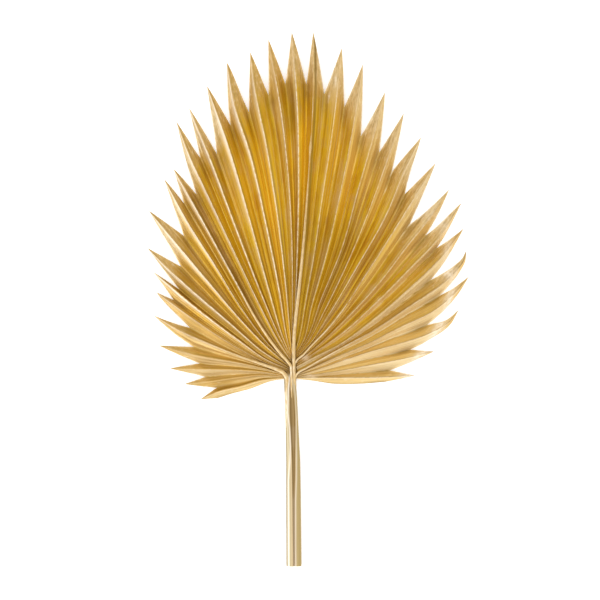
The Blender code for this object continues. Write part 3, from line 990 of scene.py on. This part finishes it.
@dataclass
class HubBranches:
    """Thick ribs that spread from the petiole's top into the blade. Sizes are in mm."""

    blade: PalmBlade
    # Where the branches are painted with a highlight, and how far it reaches in x and in y.
    painted_highlight_spot: tuple[float, float] = (292.0, 370.5)
    painted_highlight_reach: tuple[float, float] = (3.5, 6.0)
    # Faces around a branch, rows between two stops, and its height as a share of its width.
    around: int = 16
    span_rows: int = 10
    flatness: float = 0.8
    sharp_angle: float = 60.0
    branches: tuple[Branch, ...] = (
        Branch(
            4,
            ((288.2, 440, 6.2, 2.2), (288, 425, 6.5, 2.4), (287.7, 408, 6.6, 2.6), (287.4, 394, 6.5, 2.7),
             (287.3, 385, 6.4, 2.7), (287.2, 379, 6.3, 2.5)),
            ((4.5, 0.5, 2.3), (10, 0.35, 2.1), (20, 0.3, 1.7), (40, 0.15, 1.2), (70, 0, 0.9),
             (105, -0.5, 0.7)),
            0.75, 0.4,
        ),
        Branch(
            10,
            ((292.0, 402, 4.9, 1.0), (291.8, 392, 5.4, 1.2), (291.6, 383, 5.8, 1.3), (291.5, 376, 6.0, 1.4),
             (291.3, 370, 6.2, 1.4), (290.8, 366, 6.2, 1.6)),
            ((5.5, 0.6, 1.6), (14, 0.4, 1.5), (30, 0.25, 1.4), (60, 0.1, 1.2), (95, -0.5, 0.9)),
            0.3, 0.35,
        ),
        Branch(
            18,
            ((294.5, 402, 4.9, 1.0), (294.5, 392, 5.4, 1.2), (294.4, 384, 5.8, 1.3), (294.4, 376, 6.2, 1.4),
             (294.1, 367, 6.5, 1.6), (293.7, 358, 6.5, 1.9)),
            ((2, 0.9, 2.0), (12, 0.6, 1.9), (30, 0.45, 1.9), (60, 0.4, 1.8), (95, 0.35, 1.5),
             (150, 0.3, 1.2), (199, 0.25, 1.0), (205.5, 0.65, 1.5), (211, 0.2, 0.95), (250, 0, 0.7),
             (280, -0.4, 0.5)),
            cream=0.45,
        ),
        Branch(
            24,
            ((294.4, 376, 4.8, 0.9), (294.4, 369, 5.4, 1.1), (294.7, 364.2, 5.8, 1.2)),
            ((3, 0.5, 1.1), (9, 0.35, 0.95), (22, 0.2, 0.85), (45, 0.05, 0.7), (80, -0.4, 0.5)),
        ),
        Branch(
            28,
            ((295.4, 394, 4.8, 0.9), (295.3, 384, 5.4, 1.1), (295.2, 377.5, 5.7, 1.2)),
            ((4, 0.5, 1.1), (11, 0.4, 1.0), (25, 0.25, 0.9), (50, 0.1, 0.8), (85, -0.4, 0.6)),
        ),
    )

    def build(self, finish: bpy.types.Material) -> list[bpy.types.Object]:
        """Sweeps each branch along its route.

        Args:
            finish: the branches' material.

        Returns:
            The branches.
        """
        pieces = []
        for number, branch in enumerate(self.branches, 1):
            stops = np.array(branch.stops)
            spine = self.blade.spine(branch.leaflet)
            plan = self.blade.midribs[branch.leaflet].at(stops[:, 0])
            tops = np.interp(stops[:, 0], spine["length"], spine["ridge_top"])
            crest = self.blade.above_table(plan, tops)
            along = np.column_stack((plan, crest + stops[:, 1], stops[:, 2]))
            route = np.vstack((np.array(branch.stem), along))
            cream = np.full(len(route), branch.cream)
            cream[len(branch.stem):] *= 1 - 0.6 * smooth_step(70, 150, stops[:, 0])
            cream[:len(branch.stem) - 2] = branch.stem_cream
            # Painted highlight where the branches meet over the stalk.
            off = (route[:, :2] - np.array(self.painted_highlight_spot)) / np.array(self.painted_highlight_reach)
            cream = np.maximum(cream, 1.2 * np.exp(-np.sum(off**2, axis=1)))
            pieces.append(self.sweep(f"hub_branch_{number}", np.column_stack((route, cream))))
            pieces[-1].data.materials.append(finish)
        return pieces

    def sweep(self, name: str, route: np.ndarray) -> bpy.types.Object:
        """Lays a tapered round rib along a route.

        Args:
            name: the rib's name.
            route: plan x, plan y, height of the top, half width and paleness at each stop.

        Returns:
            The rib.
        """
        line = smooth_through(route, self.span_rows)
        plan, top, half, cream = line[:, :2], line[:, 2], line[:, 3], np.clip(line[:, 4:], 0, 1)
        ahead = np.gradient(plan, axis=0)
        along = ahead / np.linalg.norm(ahead, axis=1)[:, None]
        side = np.stack((-along[:, 1], along[:, 0]), axis=-1)
        turns = np.linspace(0, 2 * math.pi, self.around + 1)
        places = plan[:, None, :] + side[:, None, :] * (half[:, None] * np.cos(turns))[..., None]
        thick = half * self.flatness
        heights = (top - thick)[:, None] + thick[:, None] * np.sin(turns)
        piece = shaped_grid(name, to_frame(places, heights))
        length = np.concatenate(([0], np.cumsum(np.linalg.norm(np.diff(plan, axis=0), axis=1))))
        along_branch = np.repeat(length[:, None], len(turns), axis=1)
        veins = np.stack((half[:, None] * turns[None, :], along_branch), axis=-1)
        flat = np.zeros((len(line), len(turns)))
        # Painted light and shade: the top is painted cream, most on the side that faces the light, and the
        # underside darker.
        upper = smooth_step(-0.2, 0.8, np.sin(turns))[None, :] + flat
        facing = (side @ np.array(self.blade.painted_light_side))[:, None] * np.cos(turns)
        cream = cream * (0.45 + 0.55 * smooth_step(-0.35, 0.45, facing))
        own = {"tan": flat + 1, "ridge": upper * cream, "shade": 0.4 * (1 - upper), "lit": flat + 0.35}
        dress_grid(piece, veins, dict.fromkeys(GoldSprayOnLeaf.weights, flat) | own)
        weld(piece)
        cap_ends(piece)
        shade(piece, self.sharp_angle)
        return piece


@dataclass
class Petiole:
    """Grooved leaf stalk with a sawn end. Sizes are in mm."""

    around: int = 72
    step: float = 1.5
    # Rows over which the stations are evened out, and places between two corners of the outline.
    evening: int = 5
    corner_steps: int = 8
    sharp_angle: float = 40.0
    girth: float = 42.0
    # Outline up the right side and down the left, as shares of the half width and of the height,
    # then the height of the groove's edges, and how far beside its right edge the top is rounded.
    right_side: tuple[tuple[float, float], ...] = (
        (0.32, 0), (0.7, 0.07), (0.93, 0.28), (1, 0.52), (0.93, 0.76), (0.74, 0.9),
    )
    left_side: tuple[tuple[float, float], ...] = (
        (-0.74, 0.92), (-0.94, 0.74), (-1, 0.48), (-0.92, 0.25), (-0.68, 0.06), (-0.32, 0),
    )
    groove_side: float = 0.95
    groove_lip: tuple[float, float] = (0.16, 0.97)
    # Width of a painted highlight along a crest as a share of the half width, and how strong the left and
    # right ones are.
    crest_width: float = 0.12
    crest_strengths: tuple[float, float] = (0.85, 0.5)
    # Sawn end: its flat rim, then the width and depth of the slope into its dish.
    rim: float = 0.35
    dish_width: float = 0.6
    dish_depth: float = 0.25

    def section(self, station: np.ndarray) -> np.ndarray:
        """Works out the stalk's outline at one station.

        Args:
            station: the values of the station.

        Returns:
            Plan x and height of each outline point.
        """
        _, left, right, low, high, middle, groove, depth = station
        centre, half, rise = (left + right) / 2, (right - left) / 2, high - low
        bottom = self.groove_side - depth / rise
        beside, lip = self.groove_lip
        shares = [
            *self.right_side,
            (middle + groove + beside, lip), (middle + groove, self.groove_side),
            (middle + groove / 2, bottom), (middle - groove / 2, bottom),
            (middle - groove, self.groove_side), ((middle - groove + self.left_side[0][0]) / 2, 1),
            *self.left_side,
        ]
        loop = np.array([(centre + half * u, low + rise * v) for u, v in shares + shares[:1]])
        line = smooth_through(loop, self.corner_steps)
        steps = np.linalg.norm(np.diff(line, axis=0), axis=1)
        lengths = np.concatenate(([0], np.cumsum(steps)))
        places = np.linspace(0, lengths[-1], self.around + 1)
        outline = np.stack([np.interp(places, lengths, line[:, axis]) for axis in (0, 1)], axis=-1)
        outline[:, 1] = np.maximum(outline[:, 1], low)
        return outline

    def build(self, finish: bpy.types.Material, end_finish: bpy.types.Material) -> bpy.types.Object:
        """Models the stalk and its sawn end.

        Args:
            finish: material of the stalk.
            end_finish: material of the sawn end.

        Returns:
            The stalk.
        """
        stations = np.array(PETIOLE_STATIONS, dtype=float)
        rows = int((stations[0, 0] - stations[-1, 0]) / self.step)
        ys = np.linspace(stations[0, 0], stations[-1, 0], rows + 1)
        order = stations[::-1]
        values = np.stack([np.interp(ys, order[:, 0], order[:, k]) for k in range(order.shape[1])], axis=-1)
        kernel = np.ones(self.evening) / self.evening
        for k in range(1, values.shape[1]):
            padded = np.pad(values[:, k], self.evening // 2, mode="edge")
            values[:, k] = np.convolve(padded, kernel, mode="valid")
        outlines = np.array([self.section(row) for row in values])
        plan = np.stack((outlines[..., 0], np.repeat(ys[:, None], outlines.shape[1], axis=1)), axis=-1)
        stalk = shaped_grid("petiole", to_frame(plan, outlines[..., 1]))
        turn = np.linspace(0, self.girth, outlines.shape[1])[None, :].repeat(len(ys), axis=0)
        along = (ys[0] - ys)[:, None].repeat(outlines.shape[1], axis=1)
        dress_grid(stalk, np.stack((turn, along), axis=-1), self.paint_places(values, outlines))
        weld(stalk)
        self.close_ends(stalk, finish, end_finish)
        return stalk

    def paint_places(self, values: np.ndarray, outlines: np.ndarray) -> dict[str, np.ndarray]:
        """Works out where the stalk's stripes of paint lie.

        Args:
            values: the station values of each row.
            outlines: plan x and height of each outline point.

        Returns:
            Place across the stalk, from -1 at the left edge over 0 in the groove to 1
            at the right edge, and weights of groove, painted hub shade and painted highlights.
        """
        _, left, right, low, high, middle, groove, _ = (values[:, k:k + 1] for k in range(values.shape[1]))
        across = (outlines[..., 0] - (left + right) / 2) / ((right - left) / 2)
        rise = (outlines[..., 1] - low) / (high - low)
        to_left = (across - (middle - groove)) / (1 + middle - groove)
        to_right = (across - (middle + groove)) / (1 - middle - groove)
        place = np.where(across < middle, np.minimum(to_left, 0), np.maximum(to_right, 0))
        inside = 1 - smooth_step(0.75, 1.25, np.abs(across - middle) / groove)
        ys, *crests = np.array(STALK_HIGHLIGHTS).T
        offs = ((place - np.interp(values[:, :1], ys, crest)) / self.crest_width for crest in crests)
        shine = [strength * np.exp(-(off**2)) for off, strength in zip(offs, self.crest_strengths)]
        return {
            "place": np.where(rise < 0.4, 1, np.clip(place, -1, 1)),
            "groove": inside * smooth_step(0.4, 0.6, rise),
            "hub": 1 - smooth_step(372, 380, values[:, :1]) + np.zeros_like(across),
            "shine": np.maximum(*shine) * smooth_step(0.4, 0.6, rise),
        }

    def close_ends(
        self, stalk: bpy.types.Object, finish: bpy.types.Material, end_finish: bpy.types.Material
    ) -> None:
        """Caps the stalk and dishes its sawn end slightly.

        Args:
            stalk: the open stalk.
            finish: material of the stalk.
            end_finish: material of the sawn end.
        """
        stalk.data.materials.append(finish)
        stalk.data.materials.append(end_finish)
        cap_ends(stalk)
        cut = (PLAN_CENTRE[1] - PETIOLE_STATIONS[0][0]) * MM
        for face in stalk.data.polygons:
            face.select = len(face.vertices) > 4 and face.center.y < cut + MM
            if face.select:
                face.material_index = 1
        bpy.ops.object.mode_set(mode="EDIT")
        bpy.ops.mesh.inset(thickness=self.rim * MM, depth=0)
        bpy.ops.mesh.inset(thickness=self.dish_width * MM, depth=-self.dish_depth * MM)
        bpy.ops.object.mode_set(mode="OBJECT")
        shade(stalk, self.sharp_angle)


def add_node(
    tree: bpy.types.NodeTree, kind: str, settings: dict | None = None, links: dict | None = None
) -> bpy.types.Node:
    """Adds a node with its settings and links.

    Args:
        tree: the node tree.
        kind: the node's type name.
        settings: property or input to value.
        links: input to the socket that feeds it.

    Returns:
        The node.
    """
    node = tree.nodes.new(kind)
    for name, value in (settings or {}).items():
        if isinstance(name, str) and hasattr(node, name):
            setattr(node, name, value)
        else:
            node.inputs[name].default_value = value
    for name, socket in (links or {}).items():
        tree.links.new(socket, node.inputs[name])
    return node


def set_inputs(node: bpy.types.Node, values: dict) -> None:
    """Sets inputs of a node by name."""
    for name, value in values.items():
        node.inputs[name].default_value = value


def new_material(name: str) -> tuple[bpy.types.Material, bpy.types.NodeTree, bpy.types.Node]:
    """Makes an empty material.

    Args:
        name: its name.

    Returns:
        The material, its node tree and its shader.
    """
    material = bpy.data.materials.new(name)
    material.use_nodes = True
    return material, material.node_tree, material.node_tree.nodes["Principled BSDF"]


@dataclass(frozen=True)
class Grain:
    """Noise that is drawn out along the veins. Sizes are in mm."""

    across: float
    along: float
    detail: float
    shift: float = 0.0


@dataclass(frozen=True)
class Span:
    """A value's range and what it is mapped to, times another value where one is named."""

    source: str
    low: float
    high: float
    to_low: float
    to_high: float
    times: str = ""


@dataclass(frozen=True)
class VeinPaint:
    """Paint that follows the veins, in layers over a ground."""

    name: str
    # The ground's colour, or the stops of a ramp over the value named stripe, with places from -1,
    # where that value is 0, to 1, where it is 1.
    ground: tuple[tuple[float, str], ...]
    # Values that the mesh carries, noises, shares made of both, and each layer's colour with its share.
    weights: tuple[str, ...]
    grains: dict[str, Grain]
    spans: dict[str, Span]
    layers: tuple[tuple[str, str], ...]
    metallic: float = 0.6
    specular: float = 0.25
    coat: float = 0.15
    coat_roughness: float = 0.3
    relief: float = 0.4
    relief_mm: float = 0.3

    def build(self) -> bpy.types.Material:
        """Makes the material.

        Returns:
            The material.
        """
        material, tree, shader = new_material(self.name)
        values = self.values(tree)
        colour = self.ground_socket(tree, values)
        for code, share in self.layers:
            layer = add_node(tree, "ShaderNodeMix", {"data_type": "RGBA", 7: linear_colour(code)},
                             {0: values[share], 6: colour})
            colour = layer.outputs[2]
        tree.links.new(colour, shader.inputs["Base Color"])
        tree.links.new(values["roughness"], shader.inputs["Roughness"])
        set_inputs(shader, {
            "Metallic": self.metallic, "Specular IOR Level": self.specular,
            "Coat Weight": self.coat, "Coat Roughness": self.coat_roughness,
        })
        depth = {"Strength": self.relief, "Distance": self.relief_mm * MM}
        relief = add_node(tree, "ShaderNodeBump", depth, {"Height": values["relief"]})
        tree.links.new(relief.outputs["Normal"], shader.inputs["Normal"])
        return material

    def values(self, tree: bpy.types.NodeTree) -> dict[str, bpy.types.NodeSocket]:
        """Adds the nodes behind every named value.

        Args:
            tree: the material's node tree.

        Returns:
            Name to the socket that gives the value.
        """
        result = {}
        for name in self.weights:
            result[name] = add_node(tree, "ShaderNodeAttribute", {"attribute_name": name}).outputs["Fac"]
        veins = add_node(tree, "ShaderNodeUVMap", {"uv_map": "vein_map"})
        for name, grain in self.grains.items():
            shape = {"Scale": (1 / grain.across, 1 / grain.along, 1), "Location": (grain.shift,) * 3}
            stretch = add_node(tree, "ShaderNodeMapping", shape, {"Vector": veins.outputs["UV"]})
            look = {"Scale": 1.0, "Detail": grain.detail, "Roughness": 0.6}
            noise = add_node(tree, "ShaderNodeTexNoise", look, {"Vector": stretch.outputs["Vector"]})
            result[name] = noise.outputs["Fac"]
        for name, span in self.spans.items():
            ends = {"From Min": span.low, "From Max": span.high,
                    "To Min": span.to_low, "To Max": span.to_high}
            ranged = add_node(tree, "ShaderNodeMapRange", ends, {"Value": result[span.source]})
            share = ranged.outputs["Result"]
            if span.times:
                product = add_node(tree, "ShaderNodeMath", {"operation": "MULTIPLY"},
                                   {0: share, 1: result[span.times]})
                share = product.outputs["Value"]
            result[name] = share
        return result

    def ground_socket(
        self, tree: bpy.types.NodeTree, values: dict[str, bpy.types.NodeSocket]
    ) -> bpy.types.NodeSocket:
        """Adds the ground: one colour, or stripes.

        Args:
            tree: the material's node tree.
            values: name to socket.

        Returns:
            The colour socket.
        """
        if len(self.ground) == 1:
            ground = add_node(tree, "ShaderNodeRGB")
            ground.outputs[0].default_value = linear_colour(self.ground[0][1])
            return ground.outputs[0]
        ground = add_node(tree, "ShaderNodeValToRGB", None, {"Fac": values["stripe"]})
        ramp = ground.color_ramp
        while len(ramp.elements) < len(self.ground):
            ramp.elements.new(1.0)
        for stop, (place, code) in zip(ramp.elements, self.ground):
            stop.position = (place + 1) / 2
            stop.color = linear_colour(code)
        return ground.outputs["Color"]


@dataclass(frozen=True)
class GoldSprayOnLeaf(VeinPaint):
    """Gold aerosol paint on a dried leaf: fine flakes in clear binder give a satin metal look that
    follows the veins, with painted highlights along the ridges and painted shade in the folds.
    """

    name: str = "gold_spray_on_leaf"
    ground: tuple[tuple[float, str], ...] = ((0.0, "C6960E"),)
    weights: tuple[str, ...] = (
        "tan", "point", "ridge", "painted_highlight", "wash", "edge", "shade", "lit", "tone",
    )
    # Real veins are 0.4 mm apart. The fibre, thread and crinkle grains are two to four times
    # as coarse, so that they show.
    grains: dict[str, Grain] = field(default_factory=lambda: {
        "fibre": Grain(0.9, 50, 2),
        "streak": Grain(3.6, 90, 3, 7.3),
        "fold": Grain(3.0, 140, 2, 3.9),
        "patch": Grain(16, 34, 3, 21.7),
        "crinkle": Grain(1.8, 6, 2, 33.1),
        "dash": Grain(2.4, 5, 2, 41.9),
        "thread": Grain(1.2, 170, 1, 55.3),
    })
    spans: dict[str, Span] = field(default_factory=lambda: {
        "yellow": Span("streak", 0.42, 0.6, 0, 0.9),
        "ochre": Span("patch", 0.5, 0.3, 0, 0.8),
        "bright": Span("tone", 0, 1, 0, 0.9),
        "drab": Span("tone", 0, -1, 0, 0.8),
        "dull": Span("patch", 0.5, 0.68, 0, 0.8),
        "tan_dark": Span("tan", 0, 1, 0, 1),
        "painted_light_tan": Span("lit", 0, 1, 0, 0.95, "tan"),
        "pale_point_and_painted_light": Span("lit", 0, 1, 0.2, 0.75, "point"),
        "honey": Span("wash", 0, 0.45, 0, 0.85),
        "pale_gold": Span("wash", 0.45, 1, 0, 1),
        "line": Span("fibre", 0.47, 0.28, 0, 0.4),
        "brown": Span("fold", 0.5, 0.32, 0, 0.5),
        "painted_shade_and_brown": Span("shade", 0, 1, 0, 1),
        "pale_rib_and_painted_highlight": Span("dash", 0.36, 0.58, 0.35, 1, "ridge"),
        "band": Span("streak", 0.35, 0.6, 0.7, 1, "painted_highlight"),
        "rim": Span("dash", 0.35, 0.6, 0.3, 0.9, "edge"),
        "painted_crinkle_shade": Span("crinkle", 0.48, 0.34, 0.05, 0.45, "tan"),
        "glint": Span("crinkle", 0.56, 0.7, 0, 0.35, "tan"),
        "pale_thread": Span("thread", 0.57, 0.66, 0, 0.3),
        "roughness": Span("fibre", 0.3, 0.7, 0.34, 0.5),
        "relief": Span("crinkle", 0.25, 0.75, 0, 1),
    })
    layers: tuple[tuple[str, str], ...] = (
        ("D6AD07", "yellow"),
        ("B47D11", "ochre"),
        ("9E722C", "drab"),
        ("C29B59", "dull"),
        ("EEBC1E", "bright"),
        ("CA9F4A", "tan_dark"),
        # Painted light: paler tan on flanks that face the light.
        ("DFC28B", "painted_light_tan"),
        # Paler points, partly real and partly painted light.
        ("DAC59E", "pale_point_and_painted_light"),
        ("9A7210", "brown"),
        # Painted shade in the dents of the crinkles.
        ("967838", "painted_crinkle_shade"),
        # Honey and pale gold, partly painted light on flanks that face the light.
        ("E1B968", "honey"),
        ("F1DAA8", "pale_gold"),
        ("7A5718", "line"),
        ("E6CC92", "pale_thread"),
        # Painted glints on the crinkles.
        ("F4E2C0", "glint"),
        # Painted highlight beside the midribs.
        ("FEF1DC", "band"),
        # Painted shade, and a few brown spots.
        ("7C5C14", "painted_shade_and_brown"),
        # Cream along the ribs, partly a painted highlight.
        ("FAECD2", "pale_rib_and_painted_highlight"),
        # Painted highlights on rims, lips, glint spots and near tips.
        ("FAECD4", "rim"),
    )


@dataclass(frozen=True)
class GoldSprayOnStalk(VeinPaint):
    """Gold aerosol paint on a smooth palm stalk: pale cream on the left ridge, partly painted light, and
    painted highlights, brown in the groove, satin tan on the right, painted shade near the hub, and fine
    fibres along it.
    """

    name: str = "gold_spray_on_stalk"
    # Place across the stalk, from -1 at its left edge to 1 at its right, and the paint's colour there.
    # Paler on the left and darker on the right: partly the stalk's own stripes, partly painted light.
    ground: tuple[tuple[float, str], ...] = (
        (-1.0, "7E6C42"), (-0.9, "9C8A60"), (-0.8, "C8B68E"), (-0.66, "D4C6A4"), (-0.54, "C6B996"),
        (-0.39, "B8A67C"), (-0.25, "D2BC94"), (-0.1, "CCB488"), (0.0, "A08452"), (0.1, "BEA67A"),
        (0.4, "B49E6A"), (1.0, "A8905A"),
    )
    weights: tuple[str, ...] = ("place", "groove", "hub", "shine")
    grains: dict[str, Grain] = field(default_factory=lambda: {"fibre": Grain(0.7, 60, 2)})
    spans: dict[str, Span] = field(default_factory=lambda: {
        "stripe": Span("place", -1, 1, 0, 1),
        "line": Span("fibre", 0.47, 0.28, 0, 0.4),
        "channel": Span("groove", 0, 1, 0, 0.9),
        "highlight": Span("fibre", 0.25, 0.55, 0.6, 1, "shine"),
        "painted_hub_shade": Span("hub", 0, 1, 0, 1),
        "roughness": Span("fibre", 0.3, 0.7, 0.36, 0.46),
        "relief": Span("fibre", 0, 1, 0, 1),
    })
    layers: tuple[tuple[str, str], ...] = (
        # The highlight layer is a painted highlight, and the last layer is painted shade near the hub.
        ("96763A", "line"), ("967A4A", "channel"), ("F6ECDE", "highlight"), ("7A5A20", "painted_hub_shade"),
    )
    metallic: float = 0.4
    relief: float = 0.35


@dataclass(frozen=True)
class SawnFibre:
    """Sawn petiole end: straw coloured pith with darker vessel ends, dulled by a mist of gold paint."""

    name: str = "sawn_fibre_end"
    pith: str = "D9BC84"
    vessel: str = "9C7436"
    vessel_mm: float = 0.8
    # Where a vessel's dark middle ends and where the pith begins, as shares of the vessels' spacing.
    vessel_wall: tuple[float, float] = (0.15, 0.35)
    roughness: float = 0.8
    relief: float = 0.5
    relief_mm: float = 0.3

    def build(self) -> bpy.types.Material:
        """Makes the material.

        Returns:
            The material.
        """
        material, tree, shader = new_material(self.name)
        place = add_node(tree, "ShaderNodeTexCoord")
        dots = add_node(tree, "ShaderNodeTexVoronoi", {"Scale": 1 / (self.vessel_mm * MM)},
                        {"Vector": place.outputs["Object"]})
        wall = dict(zip(("From Min", "From Max"), self.vessel_wall))
        edge = add_node(tree, "ShaderNodeMapRange", wall, {"Value": dots.outputs["Distance"]})
        colours = {"data_type": "RGBA", 6: linear_colour(self.vessel), 7: linear_colour(self.pith)}
        colour = add_node(tree, "ShaderNodeMix", colours, {0: edge.outputs["Result"]})
        tree.links.new(colour.outputs[2], shader.inputs["Base Color"])
        set_inputs(shader, {"Roughness": self.roughness})
        bump = add_node(tree, "ShaderNodeBump", {"Strength": self.relief, "Distance": self.relief_mm * MM},
                        {"Height": edge.outputs["Result"]})
        tree.links.new(bump.outputs["Normal"], shader.inputs["Normal"])
        return material


@dataclass
class Studio:
    """Pale light table, a soft box and a camera straight above. Sizes are in metres."""

    floor_size: float = 4.0
    floor_level: float = -0.05 * MM
    camera_x: float = -0.0082
    camera_y: float = -0.0008
    view_width: float = 0.6
    lens_mm: float = 85.0
    sensor_mm: float = 36.0
    leaf_level: float = 0.005
    table_glow: float = 0.32
    table_roughness: float = 0.9
    table_specular: float = 0.1
    room_light: float = 1.12
    box_place: tuple[float, float, float] = (-0.95, -0.8, 1.15)
    box_size: float = 1.0
    box_watts: float = 7.0

    def build(self) -> None:
        """Sets up floor, lights, world and camera."""
        self.floor()
        self.lights()
        self.camera()

    def floor(self) -> None:
        """Lays the table top just under the leaf."""
        deselect_all()
        bpy.ops.mesh.primitive_plane_add(size=self.floor_size, location=(0, 0, self.floor_level))
        floor = bpy.context.object
        floor.name = "table_top"
        # Backlit opal acrylic, as under product shots: matt and white, with hardly a shadow.
        opal, _, shader = new_material("backlit_opal_acrylic")
        set_inputs(shader, {
            "Base Color": linear_colour("FBFBFB"), "Emission Color": (1, 1, 1, 1),
            "Emission Strength": self.table_glow, "Roughness": self.table_roughness,
            "Specular IOR Level": self.table_specular,
        })
        floor.data.materials.append(opal)

    def lights(self) -> None:
        """Sets the room's even light and hangs a square soft box that faces the leaf."""
        world = bpy.data.worlds.new("white_room")
        bpy.context.scene.world = world
        world.use_nodes = True
        air = world.node_tree.nodes["Background"]
        set_inputs(air, {"Color": (1, 1, 1, 1), "Strength": self.room_light})
        lamp = bpy.data.lights.new("key_box", "AREA")
        lamp.shape, lamp.size, lamp.energy = "SQUARE", self.box_size, self.box_watts
        holder = bpy.data.objects.new("key_box", lamp)
        bpy.context.collection.objects.link(holder)
        holder.location = self.box_place
        holder.rotation_euler = (-holder.location).to_track_quat("-Z", "Y").to_euler()

    def camera(self) -> None:
        """Hangs the camera straight above the leaf."""
        lens = bpy.data.cameras.new("overhead_camera")
        lens.lens, lens.sensor_width = self.lens_mm, self.sensor_mm
        eye = bpy.data.objects.new("overhead_camera", lens)
        bpy.context.collection.objects.link(eye)
        distance = self.view_width * self.lens_mm / self.sensor_mm
        eye.location = (self.camera_x, self.camera_y, self.leaf_level + distance)
        bpy.context.scene.camera = eye
        bpy.context.scene.view_settings.view_transform = "Standard"


def main() -> None:
    """Builds the leaf over its frame and sets the studio round it."""
    logging.basicConfig(level=logging.INFO, format="%(message)s")
    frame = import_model()
    LOG.info("packed nodes: %s", ", ".join(sorted(frame["nodes"])))
    gold = GoldSprayOnLeaf().build()
    fibre = SawnFibre().build()
    blade = PalmBlade()
    pieces = [blade.build(gold)]
    pieces += HubBranches(blade).build(gold)
    pieces.append(Petiole().build(GoldSprayOnStalk().build(), fibre))
    for piece in pieces:
        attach(piece, "root")
        LOG.info("%s: %d faces", piece.name, len(piece.data.polygons))
    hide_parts("palm_leaf")
    Studio().build()


if __name__ == "__main__":
    main()
